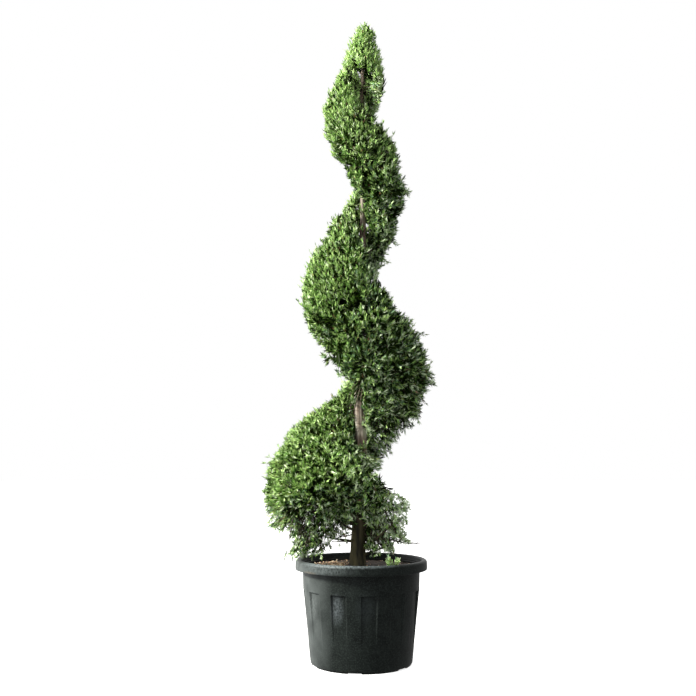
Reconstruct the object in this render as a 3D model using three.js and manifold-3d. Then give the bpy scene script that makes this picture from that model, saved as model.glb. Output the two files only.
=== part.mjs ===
// Clipped spiral conifer growing in a round nursery pot.
// Millimetres, +Z up, -Y is the front. The origin is the centre of the pot's flat underside.
import * as THREE from 'three';
import Module from 'manifold-3d';

const wasm = await Module();
wasm.setup();

const GAP = 0.3;                       // clearance where one piece is cut round another

// Pot: blow-moulded plastic, a rolled rim over a plain band and twelve sunk panels
const POT = {
  height: 342, footRadius: 172, bandRadius: 198, neckRadius: 200, rimRadius: 225, rimDrop: 33,
  bandBottom: 245, panelLip: 1.5, panelFoot: 70, panelFootRadius: 180, panelDepth: 5.5,
  wall: 10, neckWall: 8, neckDrop: 6, floor: 4, floorBevel: 6,
};
const RIM = [                          // section of the rolled rim: up from its foot, in from its face
  { up: 0, inward: 3 }, { up: 4, inward: 0 }, { up: 21, inward: 0 }, { up: 29, inward: 3.5 },
  { up: 33, inward: 9 }, { up: 30, inward: 14 }, { up: 21, inward: 19 },
];
const PANELS = 12;
const PANEL_TURN = 7;                  // degrees from the front to the nearest panel's centre line
const PANEL_HALF_WIDTH = 7.75;         // degrees, with side walls of half a degree or so
const PANEL_SIDE = 0.75;
const FOOT = { height: 5, step: 1, inset: 3, innerRadius: 150, notch: 3.4, notchEvery: 2 };

// Potting mix: fills the pot to a level a little under the rim
const SOIL = { top: 318, topRadius: 195.2, sides: 30, clear: 1.8 };

// Trunk: diameters in mm, heights above the pot's underside
const TRUNK = {
  bottom: SOIL.top + GAP, top: 2252, sides: 16, ringStep: 112,
  footDiameter: 50, tipDiameter: 10, taper: 1.35,
};
const FLARE = { out: 5, fade: 26, lobes: 5, lobeDepth: 0.3, rings: [14, 40] };   // round the trunk's foot
const LEAN = [                         // where the trunk's centre line stands at each height
  { z: 300, x: -14, y: 0 }, { z: 560, x: -4, y: 3 }, { z: 757, x: 0, y: 2 }, { z: 900, x: -5, y: -3 },
  { z: 1250, x: 3, y: -4 }, { z: 1560, x: 9, y: 2 }, { z: 1800, x: 7, y: 4 }, { z: 2070, x: 6, y: 0 },
  { z: 2200, x: 16, y: -2 }, { z: 2300, x: 23, y: -2 },
];

// Clipped band of foliage: it winds down round the trunk, anticlockwise seen from above.
// deg 0 is the right side, 90 the back, 180 the left and 270 the front. At each station the band
// meets the trunk at top and bottom, stands out furthest (reach) at mid, and hangs by skirt.
const TIP = {
  height: 2291, seam: 2115, seamRadius: 73, steps: 6, sides: 24, power: 0.62, crest: 7, lean: 0.05,
};
const BAND = [
  { deg: -45, top: TIP.seam, mid: 2085, bottom: 2045, reach: 72, skirt: 0 },
  { deg: 0, top: TIP.seam, mid: 2035, bottom: 1966, reach: 78, skirt: 0 },
  { deg: 90, top: TIP.seam, mid: 1992, bottom: 1845, reach: 116, skirt: 0 },
  { deg: 180, top: TIP.seam, mid: 1946, bottom: 1712, reach: 146, skirt: 0 },
  { deg: 225, top: TIP.seam, mid: 1875, bottom: 1632, reach: 152, skirt: 0 },
  { deg: 270, top: 1996, mid: 1785, bottom: 1580, reach: 158, skirt: 0 },
  { deg: 360, top: 1882, mid: 1615, bottom: 1402, reach: 164, skirt: 0 },
  { deg: 450, top: 1724, mid: 1438, bottom: 1205, reach: 166, skirt: 0 },
  { deg: 540, top: 1588, mid: 1256, bottom: 1022, reach: 211, skirt: 0 },
  { deg: 630, top: 1462, mid: 1108, bottom: 888, reach: 230, skirt: 0 },
  { deg: 720, top: 1182, mid: 960, bottom: 728, reach: 247, skirt: 0 },
  { deg: 810, top: 1015, mid: 765, bottom: 600, reach: 280, skirt: 20 },
  { deg: 900, top: 868, mid: 556, bottom: 450, reach: 337, skirt: 100 },
  { deg: 990, top: 712, mid: 588, bottom: 505, reach: 228, skirt: 25 },
  { deg: 1080, top: 526, mid: 408, bottom: 385, reach: 164, skirt: 24 },
  { deg: 1112, top: 490, mid: 420, bottom: 392, reach: 100, skirt: 12 },
];
const CROWN_ENDS = [225, 262];         // over these degrees the first groove parts band and tip
const SIDES = ['right', 'back', 'left', 'front'];
const MASS = {
  turn: 90, stepDeg: 9, edgePoints: 13, axisInset: 1.5, power: 2, blunt: 0.55, hang: 4, crownStraight: 0.75,
};
const LUMPS = [                        // unevenness of the clipped surface, as a share of reach
  { depth: 0.0225, turns: 3.3, wave: 62 }, { depth: 0.0225, turns: 5.2, wave: -37.2 },
];

// Bare low boughs: they leave the trunk and end where they enter the foliage
const BOUGH = { sides: 8, steps: 6, rootInset: 8, sag: 0.12, taper: 0.5 };
const BOUGHS = [
  { name: 'bough_low_left', deg: 196, z: 396, rise: 70, length: 190, diameter: 11 },
  { name: 'bough_left_front', deg: 232, z: 432, rise: 78, length: 150, diameter: 9 },
  { name: 'bough_low_right', deg: 350, z: 352, rise: 74, length: 135, diameter: 10 },
  { name: 'bough_right_front', deg: 322, z: 372, rise: 92, length: 120, diameter: 8 },
];

const FINISH = {
  pot: { color: 0x2e332f, roughness: 0.55, metalness: 0 },
  soil: { color: 0x4a3b2e, roughness: 1, metalness: 0 },
  bark: { color: 0x6b5a4a, roughness: 0.9, metalness: 0 },
  foliage: { color: 0x3f6a2c, roughness: 0.85, metalness: 0 },
};

const radians = THREE.MathUtils.degToRad;
const spiral = new THREE.Group();

// A smooth value between the stations of a list
function along(stations, by, key, at) {
  const last = stations.length - 1;
  let i = 0;
  while (i < last - 1 && at > stations[i + 1][by]) i += 1;
  const slope = (j) => {
    const a = stations[Math.max(j - 1, 0)];
    const b = stations[Math.min(j + 1, last)];
    return (b[key] - a[key]) / (b[by] - a[by]);
  };
  const [p, q] = [stations[i], stations[i + 1]];
  const span = q[by] - p[by];
  const t = THREE.MathUtils.clamp((at - p[by]) / span, 0, 1);
  const [t2, t3] = [t * t, t * t * t];
  return (2 * t3 - 3 * t2 + 1) * p[key] + (t3 - 2 * t2 + t) * span * slope(i)
    + (3 * t2 - 2 * t3) * q[key] + (t3 - t2) * span * slope(i + 1);
}

// A closed solid through loops of equal point counts, with a fan over each end
function loft(loops) {
  const count = loops[0].length;
  const points = loops.flat();
  const index = [];
  for (let row = 0; row < loops.length - 1; row += 1) {
    for (let i = 0; i < count; i += 1) {
      const [a, b] = [row * count + i, row * count + (i + 1) % count];
      index.push(a, b, b + count, a, b + count, a + count);
    }
  }
  for (const [row, flip] of [[0, true], [loops.length - 1, false]]) {
    const middle = points.length;
    const sum = loops[row].reduce((total, point) => total.add(point), new THREE.Vector3());
    points.push(sum.divideScalar(count));
    for (let i = 0; i < count; i += 1) {
      const [a, b] = [row * count + i, row * count + (i + 1) % count];
      index.push(...(flip ? [middle, b, a] : [middle, a, b]));
    }
  }
  return facingOut(points, index);
}

function facingOut(points, index) {
  let volume = 0;
  for (let i = 0; i < index.length; i += 3) {
    const [a, b, c] = [points[index[i]], points[index[i + 1]], points[index[i + 2]]];
    volume += a.dot(b.clone().cross(c));
  }
  const geometry = new THREE.BufferGeometry().setFromPoints(points);
  geometry.setIndex(volume < 0 ? index.reverse() : index);
  return geometry;
}

function asManifold(geometry) {
  return new wasm.Manifold(new wasm.Mesh({
    numProp: 3,
    vertProperties: new Float32Array(geometry.getAttribute('position').array),
    triVerts: new Uint32Array(geometry.getIndex().array),
  }));
}

function cut(geometry, tools) {
  const mesh = tools.reduce((solid, tool) => solid.subtract(tool), asManifold(geometry)).getMesh();
  const result = new THREE.BufferGeometry();
  result.setAttribute('position', new THREE.BufferAttribute(mesh.vertProperties, 3));
  result.setIndex(new THREE.BufferAttribute(mesh.triVerts, 1));
  return result;
}

function add(name, geometry, finish) {
  geometry.computeVertexNormals();
  const material = new THREE.MeshStandardMaterial({ ...FINISH[finish], flatShading: true });
  const mesh = new THREE.Mesh(geometry, material);
  mesh.name = name;
  spiral.add(mesh);
}

// ---- Pot -------------------------------------------------------------------------------------

// Directions round the pot: each panel has its two side walls, its middle and the rib beside it
function potDirections() {
  const inner = PANEL_HALF_WIDTH - PANEL_SIDE;
  const pitch = 360 / PANELS;
  const directions = [];
  for (let panel = 0; panel < PANELS; panel += 1) {
    const centre = 270 + PANEL_TURN + pitch * panel;
    for (const offset of [-PANEL_HALF_WIDTH, -inner, inner, PANEL_HALF_WIDTH, pitch / 2]) {
      directions.push({
        angle: radians(centre + offset),
        sunk: Math.abs(offset) <= inner,
        notched: Math.abs(offset) > inner && (offset < 0 ? panel + 1 : panel) % FOOT.notchEvery === 1,
      });
    }
  }
  return directions;
}

function potGeometry() {
  const rimFoot = POT.height - POT.rimDrop;
  const outer = [
    { z: 0, r: FOOT.innerRadius },
    { z: 0, r: FOOT.innerRadius + FOOT.step, notch: FOOT.notch },
    { z: 0, r: POT.footRadius - FOOT.inset, notch: FOOT.notch },
    { z: FOOT.height, r: POT.footRadius - FOOT.inset },
    { z: FOOT.height + FOOT.step, r: POT.footRadius },
    { z: POT.panelFoot, r: POT.panelFootRadius },
    { z: POT.bandBottom - POT.panelLip, r: POT.bandRadius, sunk: POT.panelDepth },
    { z: POT.bandBottom, r: POT.bandRadius },
    { z: rimFoot, r: POT.neckRadius },
  ];
  const rim = RIM.map(({ up, inward }) => ({ z: rimFoot + up, r: POT.rimRadius - inward }));
  const inner = [
    { z: rimFoot - POT.neckDrop, r: POT.neckRadius - POT.neckWall },
    { z: POT.bandBottom, r: POT.bandRadius - POT.wall },
    { z: POT.floor + POT.floorBevel, r: POT.footRadius - POT.wall },
    { z: POT.floor, r: POT.footRadius - POT.wall - POT.floorBevel },
  ];
  const directions = potDirections();
  return loft([...outer, ...rim, ...inner].map((ring) => directions.map(({ angle, sunk, notched }) => {
    const radius = ring.r - (sunk ? ring.sunk ?? 0 : 0);
    const lift = notched ? ring.notch ?? 0 : 0;
    return new THREE.Vector3(radius * Math.cos(angle), radius * Math.sin(angle), ring.z + lift);
  })));
}

add('pot', potGeometry(), 'pot');

// ---- Potting mix -----------------------------------------------------------------------------

// It stands clear of the pot's inside, whose flats come in a little from the round
function soilGeometry() {
  const rings = [
    { z: POT.floor + GAP, r: POT.footRadius - POT.wall - POT.floorBevel - SOIL.clear },
    { z: POT.floor + POT.floorBevel + GAP, r: POT.footRadius - POT.wall - SOIL.clear },
    { z: POT.bandBottom, r: POT.bandRadius - POT.wall - SOIL.clear },
    { z: POT.height - POT.rimDrop - POT.neckDrop, r: POT.neckRadius - POT.neckWall - SOIL.clear },
    { z: SOIL.top, r: SOIL.topRadius },
  ];
  return loft(rings.map(({ z, r }) => Array.from({ length: SOIL.sides }, (_, i) => {
    const angle = (2 * Math.PI * i) / SOIL.sides;
    return new THREE.Vector3(r * Math.cos(angle), r * Math.sin(angle), z);
  })));
}

add('potting_mix', soilGeometry(), 'soil');

// ---- Trunk -----------------------------------------------------------------------------------

const trunkCentre = (z) => new THREE.Vector3(along(LEAN, 'z', 'x', z), along(LEAN, 'z', 'y', z), z);

function trunkRadius(z, angle) {
  const rise = THREE.MathUtils.clamp((z - TRUNK.bottom) / (TRUNK.top - TRUNK.bottom), 0, 1);
  const girth = TRUNK.tipDiameter + (TRUNK.footDiameter - TRUNK.tipDiameter) * (1 - rise) ** TRUNK.taper;
  const flare = FLARE.out * Math.exp(-Math.max(z - TRUNK.bottom, 0) / FLARE.fade);
  return girth / 2 + flare * (1 + FLARE.lobeDepth * Math.cos(FLARE.lobes * angle));
}

// The trunk itself, or the same form grown by a clearance to cut its neighbours with
function trunkGeometry(grown) {
  const heights = [0, ...FLARE.rings].map((up) => TRUNK.bottom + up);
  for (let z = TRUNK.bottom + TRUNK.ringStep; z < TRUNK.top; z += TRUNK.ringStep) heights.push(z);
  heights.push(TRUNK.top);
  return loft(heights.map((z, ring) => {
    const centre = trunkCentre(z);
    const end = ring === heights.length - 1 ? grown : 0;
    return Array.from({ length: TRUNK.sides }, (_, i) => {
      const angle = (2 * Math.PI * (i + 0.5)) / TRUNK.sides;
      const radius = trunkRadius(z, angle) + grown / Math.cos(Math.PI / TRUNK.sides);
      return new THREE.Vector3(radius * Math.cos(angle), radius * Math.sin(angle), end).add(centre);
    });
  }));
}

add('trunk', trunkGeometry(0), 'bark');
const trunkSpace = asManifold(trunkGeometry(GAP));

// ---- Foliage ---------------------------------------------------------------------------------

// A slow unevenness in the clipped surface
function lump(degrees, z) {
  const rise = ({ depth, turns, wave }) => depth * Math.sin(turns * radians(degrees) + z / wave);
  return LUMPS.map(rise).reduce((total, wave) => total + wave, 0);
}

// The band's section in the upright plane at one direction: from the trunk, out and back to it
function bandSection(degrees, shift, grown) {
  const at = (key) => along(BAND, 'deg', key, degrees);
  const [start, end] = CROWN_ENDS;
  const crown = 1 - THREE.MathUtils.smoothstep(degrees, start, end);
  const seam = crown * TIP.seamRadius * (1 + TIP.lean * Math.cos(radians(degrees)));
  const top = Math.min(at('top'), TIP.seam) - GAP;
  const [mid, bottom, reach] = [at('mid'), at('bottom'), at('reach')];
  const angle = radians(degrees);
  const outward = new THREE.Vector3(Math.cos(angle), Math.sin(angle), 0);
  const sideways = new THREE.Vector3(-Math.sin(angle), Math.cos(angle), 0).multiplyScalar(shift);
  return Array.from({ length: MASS.edgePoints }, (_, i) => {
    const swing = Math.PI * (i / (MASS.edgePoints - 1) - 0.5);
    const share = Math.sin(swing);
    const form = Math.max(1 - Math.abs(share) ** MASS.power, 0) ** MASS.blunt;
    const hang = share < 0 ? at('skirt') * Math.sin(Math.PI * share ** MASS.hang) : 0;
    const z = mid + share * (grown + (share > 0 ? top - mid : mid - bottom)) - hang;
    const core = share > 0 ? seam : 0;
    const straight = share > 0 ? MASS.crownStraight * crown : 0;
    const even = core + (reach - core) * (form + straight * (1 - share - form));
    const radius = Math.max(even * (1 + lump(degrees, z)) + grown, MASS.axisInset);
    return trunkCentre(z).addScaledVector(outward, radius).add(sideways);
  });
}

function massGeometry(from, to, grown) {
  const steps = Math.round((to - from) / MASS.stepDeg);
  return loft(Array.from({ length: steps + 1 }, (_, i) => {
    const inset = (grown ? -GAP / 2 : GAP / 2) * (i === 0 ? 1 : i === steps ? -1 : 0);
    return bandSection(from + ((to - from) * i) / steps, inset, grown);
  }));
}

function tipGeometry() {
  const rings = Array.from({ length: TIP.steps }, (_, step) => {
    const share = step / (TIP.steps - 1);
    const z = TIP.seam + (TIP.height - TIP.seam) * share;
    const even = (TIP.seamRadius - TIP.crest) * (1 - share) ** TIP.power + TIP.crest;
    return Array.from({ length: TIP.sides }, (_, i) => {
      const degrees = (360 * i) / TIP.sides;
      const uneven = 1 + TIP.lean * Math.cos(radians(degrees)) + lump(degrees, z);
      const angle = radians(degrees);
      const outward = new THREE.Vector3(Math.cos(angle), Math.sin(angle), 0);
      return trunkCentre(z).addScaledVector(outward, even * uneven);
    });
  });
  return loft(rings);
}

add('foliage_tip', cut(tipGeometry(), [trunkSpace]), 'foliage');

const bandStart = BAND[0].deg;
const bandEnd = BAND[BAND.length - 1].deg;
const foliageSpaces = [];
for (let k = 0; bandStart + MASS.turn * k < bandEnd; k += 1) {
  const from = bandStart + MASS.turn * k;
  const to = Math.min(from + MASS.turn, bandEnd);
  const name = `foliage_turn${1 + Math.floor(k / SIDES.length)}_${SIDES[k % SIDES.length]}`;
  add(name, cut(massGeometry(from, to, 0), [trunkSpace]), 'foliage');
  const lowered = massGeometry(from, to, 0).translate(0, 0, -GAP);
  foliageSpaces.push(asManifold(massGeometry(from, to, GAP)), asManifold(lowered));
}

// ---- Low boughs ------------------------------------------------------------------------------

function boughGeometry({ deg, z, rise, length, diameter }) {
  const outward = new THREE.Vector3(Math.cos(radians(deg)), Math.sin(radians(deg)), 0);
  const root = trunkCentre(z).addScaledVector(outward, trunkRadius(z, radians(deg)) - BOUGH.rootInset);
  const end = root.clone().addScaledVector(outward, length).add(new THREE.Vector3(0, 0, rise));
  const knee = root.clone().lerp(end, 0.5).add(new THREE.Vector3(0, 0, -BOUGH.sag * rise));
  const line = new THREE.QuadraticBezierCurve3(root, knee, end);
  const sideways = new THREE.Vector3(-outward.y, outward.x, 0);
  return loft(Array.from({ length: BOUGH.steps + 1 }, (_, step) => {
    const share = step / BOUGH.steps;
    const across = line.getTangent(share).cross(sideways).normalize();
    const radius = (diameter / 2) * (1 - BOUGH.taper * share);
    return Array.from({ length: BOUGH.sides }, (_, i) => {
      const turn = (2 * Math.PI * i) / BOUGH.sides;
      return line.getPoint(share).addScaledVector(sideways, radius * Math.cos(turn))
        .addScaledVector(across, radius * Math.sin(turn));
    });
  }));
}

for (const bough of BOUGHS) {
  add(bough.name, cut(boughGeometry(bough), [trunkSpace, ...foliageSpaces]), 'bark');
}

export default spiral;
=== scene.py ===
import math

import bmesh
import bpy
import numpy as np
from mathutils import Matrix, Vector


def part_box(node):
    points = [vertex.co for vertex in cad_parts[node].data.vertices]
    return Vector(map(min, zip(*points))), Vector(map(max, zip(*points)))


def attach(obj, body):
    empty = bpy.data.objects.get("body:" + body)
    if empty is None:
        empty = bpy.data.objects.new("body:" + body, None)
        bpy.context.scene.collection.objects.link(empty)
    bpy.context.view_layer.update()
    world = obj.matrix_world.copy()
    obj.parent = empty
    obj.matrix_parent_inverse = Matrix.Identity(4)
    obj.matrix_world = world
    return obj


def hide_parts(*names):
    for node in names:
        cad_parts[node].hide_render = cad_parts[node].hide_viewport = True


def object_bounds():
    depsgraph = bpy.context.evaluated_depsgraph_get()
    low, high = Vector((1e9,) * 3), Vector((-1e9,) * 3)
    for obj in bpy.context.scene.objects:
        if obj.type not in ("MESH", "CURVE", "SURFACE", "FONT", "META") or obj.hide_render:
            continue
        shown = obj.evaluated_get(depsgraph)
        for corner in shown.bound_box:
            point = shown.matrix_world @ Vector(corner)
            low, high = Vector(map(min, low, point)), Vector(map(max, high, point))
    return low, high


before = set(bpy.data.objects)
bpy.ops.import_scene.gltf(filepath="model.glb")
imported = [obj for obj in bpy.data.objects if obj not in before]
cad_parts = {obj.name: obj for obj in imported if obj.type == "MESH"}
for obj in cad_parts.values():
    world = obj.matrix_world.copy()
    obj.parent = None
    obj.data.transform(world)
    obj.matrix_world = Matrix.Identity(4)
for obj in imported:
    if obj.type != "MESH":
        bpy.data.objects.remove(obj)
cad_box = [list(corner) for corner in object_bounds()]

# ---- Camera, floor and light ---------------------------------------------------------------------
# The plant stands on a plain pale floor under an even pale sky, brighter overhead than low down,
# with one large soft lamp high in front on the left. The camera stands three metres off and looks
# a little upwards.

CAMERA_PLACE = (-0.0452, -3.0, 0.668)
CAMERA_TIP = math.radians(7.64)
CAMERA_LENS, SENSOR_WIDTH = 44.22, 36  # mm
FLOOR_RADIUS, FLOOR_SIDES = 30.0, 96
FLOOR_COLOR, FLOOR_GLOW = (0.75, 0.75, 0.75), 0.7
LAMP_PLACE = Vector((-3.7, -1.3, 2.9))
LAMP_TARGET = Vector((0.0, 0.0, 1.1))
LAMP_SIZE, LAMP_POWER, LAMP_COLOR = 0.9, 560, (1.0, 0.97, 0.9)
SKY_BRIGHT_SIDE = (-0.66, 0.10, 0.74)  # the direction in which the sky is brightest
SKY_BRIGHT, SKY_DARK = 2.1, 0.50
SKY_DARK_FROM = -0.45                  # how far round from that side the sky is darkest, as a cosine

camera = bpy.data.objects.new("camera", bpy.data.cameras.new("camera"))
bpy.context.scene.collection.objects.link(camera)
camera.location = CAMERA_PLACE
camera.rotation_euler = (math.pi / 2 + CAMERA_TIP, 0, 0)
camera.data.lens = CAMERA_LENS
camera.data.sensor_width = SENSOR_WIDTH
bpy.context.scene.camera = camera
bpy.context.scene.view_settings.view_transform = "Standard"

lamp = bpy.data.objects.new("soft_lamp", bpy.data.lights.new("soft_lamp", "AREA"))
bpy.context.scene.collection.objects.link(lamp)
lamp.data.shape = "DISK"
lamp.data.size = LAMP_SIZE
lamp.data.energy = LAMP_POWER
lamp.data.color = LAMP_COLOR
lamp.location = LAMP_PLACE
lamp.rotation_euler = (LAMP_TARGET - LAMP_PLACE).to_track_quat("-Z", "Y").to_euler()

sky = bpy.data.worlds.new("pale_sky")
bpy.context.scene.world = sky
sky.use_nodes = True
sky_nodes, sky_links = sky.node_tree.nodes, sky.node_tree.links
backdrop = sky_nodes["Background"]
backdrop.inputs["Color"].default_value = (1, 1, 1, 1)
backdrop.inputs["Strength"].default_value = 1.0
daylight = sky_nodes.new("ShaderNodeBackground")
direction = sky_nodes.new("ShaderNodeTexCoord")
across_sky = sky_nodes.new("ShaderNodeVectorMath")
across_sky.operation = "DOT_PRODUCT"
across_sky.inputs[1].default_value = SKY_BRIGHT_SIDE
brighter = sky_nodes.new("ShaderNodeMapRange")
brighter.inputs["From Min"].default_value = SKY_DARK_FROM
brighter.inputs["To Min"].default_value = SKY_DARK
brighter.inputs["To Max"].default_value = SKY_BRIGHT
seen = sky_nodes.new("ShaderNodeLightPath")
either = sky_nodes.new("ShaderNodeMixShader")
sky_links.new(direction.outputs["Generated"], across_sky.inputs[0])
sky_links.new(across_sky.outputs["Value"], brighter.inputs["Value"])
sky_links.new(brighter.outputs["Result"], daylight.inputs["Strength"])
sky_links.new(seen.outputs["Is Camera Ray"], either.inputs["Fac"])
sky_links.new(daylight.outputs["Background"], either.inputs[1])
sky_links.new(backdrop.outputs["Background"], either.inputs[2])
sky_links.new(either.outputs["Shader"], sky_nodes["World Output"].inputs["Surface"])


def new_material(name, roughness, color=(0.5, 0.5, 0.5)):
    """A material, and its shader to build a pattern on."""
    material = bpy.data.materials.new(name)
    material.use_nodes = True
    shader = material.node_tree.nodes["Principled BSDF"]
    shader.inputs["Roughness"].default_value = roughness
    shader.inputs["Base Color"].default_value = (*color, 1)
    return material, shader


def new_piece(name, points, faces, *materials, smooth=True):
    mesh = bpy.data.meshes.new(name)
    mesh.from_pydata([tuple(p) for p in points], [], [tuple(f) for f in faces])
    for material in materials:
        mesh.materials.append(material)
    mesh.polygons.foreach_set("use_smooth", [smooth] * len(mesh.polygons))
    piece = bpy.data.objects.new(name, mesh)
    bpy.context.scene.collection.objects.link(piece)
    return piece


floor_finish, floor_shader = new_material("pale_floor", 0.9, FLOOR_COLOR)
floor_shader.inputs["Emission Color"].default_value = (1, 1, 1, 1)
floor_shader.inputs["Emission Strength"].default_value = FLOOR_GLOW
around = [2 * math.pi * i / FLOOR_SIDES for i in range(FLOOR_SIDES)]
floor_edge = [(FLOOR_RADIUS * math.cos(a), FLOOR_RADIUS * math.sin(a), 0) for a in around]
floor = new_piece("floor", floor_edge, [range(FLOOR_SIDES)], floor_finish)
floor.visible_diffuse = False
floor.visible_glossy = False

# ---- Pot -----------------------------------------------------------------------------------------
# A round nursery pot, blow-moulded in dark recycled plastic: a plain band under a rolled rim, and
# twelve sunk panels round a body that narrows to the foot. The foot ring has shallow drain slots.

POT_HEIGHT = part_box("pot")[1].z
RIM_RADIUS = 0.225
RIM_DROP = 0.033                       # height of the rolled rim's face
RIM_UNDER = POT_HEIGHT - RIM_DROP
NECK_RADIUS, BAND_RADIUS, FOOT_RADIUS, MOUTH_RADIUS = 0.200, 0.198, 0.172, 0.207
BAND_BOTTOM, PANEL_FOOT = 0.245, 0.070
WALL = 0.0035
PANELS = 12
PANEL_TURN = 7                         # degrees from the front to the nearest panel's middle
PANEL_HALF = 7.4                       # degrees to the middle of a panel's side wall
PANEL_EDGE = 0.80                      # degrees over which that wall falls
PANEL_DEPTH = 0.0065
SLOT_HEIGHT = 0.0034
FOOT_INSET, FOOT_HEIGHT, FOOT_INNER = 0.003, 0.005, 0.150
PLASTIC_DARK, PLASTIC_PALE = (0.0022, 0.0036, 0.0032), (0.0075, 0.0105, 0.0092)
PLASTIC_GRAIN = (0.017, 0.0225, 0.020)  # pale grains in the recycled plastic
# A pale streaky patch over the pot's left side, where the lamp lights it: painted sheen.
SHEEN_PLACE, SHEEN_SIZE, SHEEN_COLOR = (-0.24, -0.06, 0.20), (0.17, 0.24, 0.50), (0.086, 0.099, 0.096)
DUST_AND_HIGHLIGHT_SPOTS = [                         # middle, size and colour of each patch: dried dust and a tan stain, then painted light on the rim
    ((-0.164, -0.100, 0.205), (0.024, 0.060, 0.055), (0.090, 0.102, 0.100)),
    ((-0.080, -0.165, 0.200), (0.026, 0.060, 0.060), (0.068, 0.080, 0.085)),
    ((0.010, -0.180, 0.205), (0.040, 0.060, 0.060), (0.022, 0.028, 0.028)),
    ((-0.158, -0.118, 0.313), (0.035, 0.060, 0.006), (0.200, 0.140, 0.080)),
    # a painted highlight along the rim's crest
    ((-0.090, -0.190, 0.341), (0.230, 0.110, 0.010), (0.165, 0.196, 0.204)),
    # painted light on the rim's face at the left, where the lamp falls
    ((-0.150, -0.170, 0.325), (0.160, 0.110, 0.022), (0.085, 0.100, 0.100)),
]


def ease(low, high, x):
    t = np.clip((x - low) / (high - low), 0, 1)
    return t * t * (3 - 2 * t)


def bend(centre_r, centre_z, radius, start, end, steps):
    """Points on a round corner of the pot's outline, as (radius, height), from one angle to another."""
    turns = np.radians(np.linspace(start, end, steps))
    return [(centre_r + radius * math.cos(t), centre_z + radius * math.sin(t)) for t in turns]


side_slope = (BAND_RADIUS - FOOT_RADIUS) / (BAND_BOTTOM - FOOT_HEIGHT)


def side_radius(z):
    if z > BAND_BOTTOM:
        return BAND_RADIUS + (NECK_RADIUS - BAND_RADIUS) * (z - BAND_BOTTOM) / (RIM_UNDER - BAND_BOTTOM)
    return FOOT_RADIUS + side_slope * (z - FOOT_HEIGHT)


side_heights = [
    *np.linspace(FOOT_HEIGHT + 0.0025, PANEL_FOOT, 6),
    *np.linspace(PANEL_FOOT, BAND_BOTTOM - 0.004, 22)[1:],
    *(BAND_BOTTOM + np.array([-0.0028, -0.0019, -0.0013, -0.0008, -0.0003, 0.0003, 0.001])),
    *np.linspace(BAND_BOTTOM + 0.004, RIM_UNDER - 0.002, 6),
]
outline = [(FOOT_INNER, 0), (FOOT_INNER + 0.001, 0), (FOOT_RADIUS - FOOT_INSET - 0.001, 0)]
outline += bend(FOOT_RADIUS - FOOT_INSET - 0.001, 0.001, 0.001, -60, 0, 3)
outline += [(FOOT_RADIUS - FOOT_INSET, FOOT_HEIGHT)]
outline += bend(FOOT_RADIUS - 0.0018, FOOT_HEIGHT + 0.0018, 0.0018, -80, 0, 4)
foot_rows = len(outline)
outline += [(side_radius(z), z) for z in side_heights]
body_rows = len(outline)
outline += [(NECK_RADIUS, RIM_UNDER), (NECK_RADIUS + 0.0006, RIM_UNDER + 0.004)]
outline += bend(NECK_RADIUS + 0.004, RIM_UNDER + 0.012, 0.003, 180, 90, 4)
outline += bend(RIM_RADIUS - 0.0075, RIM_UNDER + 0.012, 0.003, 90, 0, 4)
outline += [(RIM_RADIUS - 0.0040, RIM_UNDER + 0.003)]
outline += bend(RIM_RADIUS - 0.0020, RIM_UNDER + 0.002, 0.002, -150, 0, 6)
outline += [(RIM_RADIUS + 0.0002, RIM_UNDER + 0.010), (RIM_RADIUS, RIM_UNDER + 0.018)]
outline += bend(RIM_RADIUS - 0.0095, POT_HEIGHT - 0.0095, 0.0095, 0, 90, 9)
outline += bend(MOUTH_RADIUS + 0.0065, POT_HEIGHT - 0.0075, 0.0075, 100, 180, 8)
outline += [(MOUTH_RADIUS - 0.003, POT_HEIGHT - 0.016), (MOUTH_RADIUS - 0.008, RIM_UNDER + 0.006)]
rim_rows = len(outline)
inner_heights = [RIM_UNDER - 0.006, *reversed([z for z in side_heights if z < RIM_UNDER - 0.008])]
outline += [(side_radius(z) - WALL, z) for z in inner_heights]
outline += [(FOOT_RADIUS - 0.008, 0.004)]

panel_wall = np.linspace(-PANEL_EDGE, PANEL_EDGE, 7)
panel_offsets = [-15, -12.5, -10.5, -9.2, -8.5, *(panel_wall - PANEL_HALF), -6, -3.5, -1.2]
panel_offsets += [1.2, 3.5, 6, *(panel_wall + PANEL_HALF), 8.5, 9.2, 10.5, 12.5]
pot_points, columns = [], []
for panel in range(PANELS):
    middle = 270 + PANEL_TURN + 360 / PANELS * panel
    for offset in panel_offsets:
        sunk = 1 - ease(PANEL_HALF - PANEL_EDGE, PANEL_HALF + PANEL_EDGE, abs(offset))
        beside = panel if offset > 0 else panel - 1
        slotted = (1 - sunk) if beside % 2 == 1 else 0
        columns.append((math.radians(middle + offset), sunk, slotted))
for row, (radius, z) in enumerate(outline):
    in_side = foot_rows <= row < body_rows or row >= rim_rows
    depth = PANEL_DEPTH * min(max((z - PANEL_FOOT) / (BAND_BOTTOM - PANEL_FOOT), 0), 1)
    depth *= 1 - ease(BAND_BOTTOM - 0.0018, BAND_BOTTOM + 0.0002, z)
    for angle, sunk, slotted in columns:
        r = radius - (depth * sunk if in_side else 0)
        lift = SLOT_HEIGHT * slotted if 0 < row < foot_rows - 5 and z < FOOT_HEIGHT else 0
        pot_points.append((r * math.cos(angle), r * math.sin(angle), max(z, lift)))


def ring_faces(first, sides, rings, inside_out=False):
    """Faces between rings of points that lie one after another, with a lid on the first and the last."""
    last = first + (rings - 1) * sides
    faces = [(a + i, a + (i + 1) % sides, a + sides + (i + 1) % sides, a + sides + i)
             for a in range(first, last, sides) for i in range(sides)]
    faces += [tuple(reversed(range(first, first + sides))), tuple(range(last, last + sides))]
    if inside_out:
        faces = [(face[0], *reversed(face[1:])) for face in faces]
    return faces


pot_faces = ring_faces(0, len(columns), len(outline))
pot_plastic, pot_shader = new_material("pot_plastic", 0.5)


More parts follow.
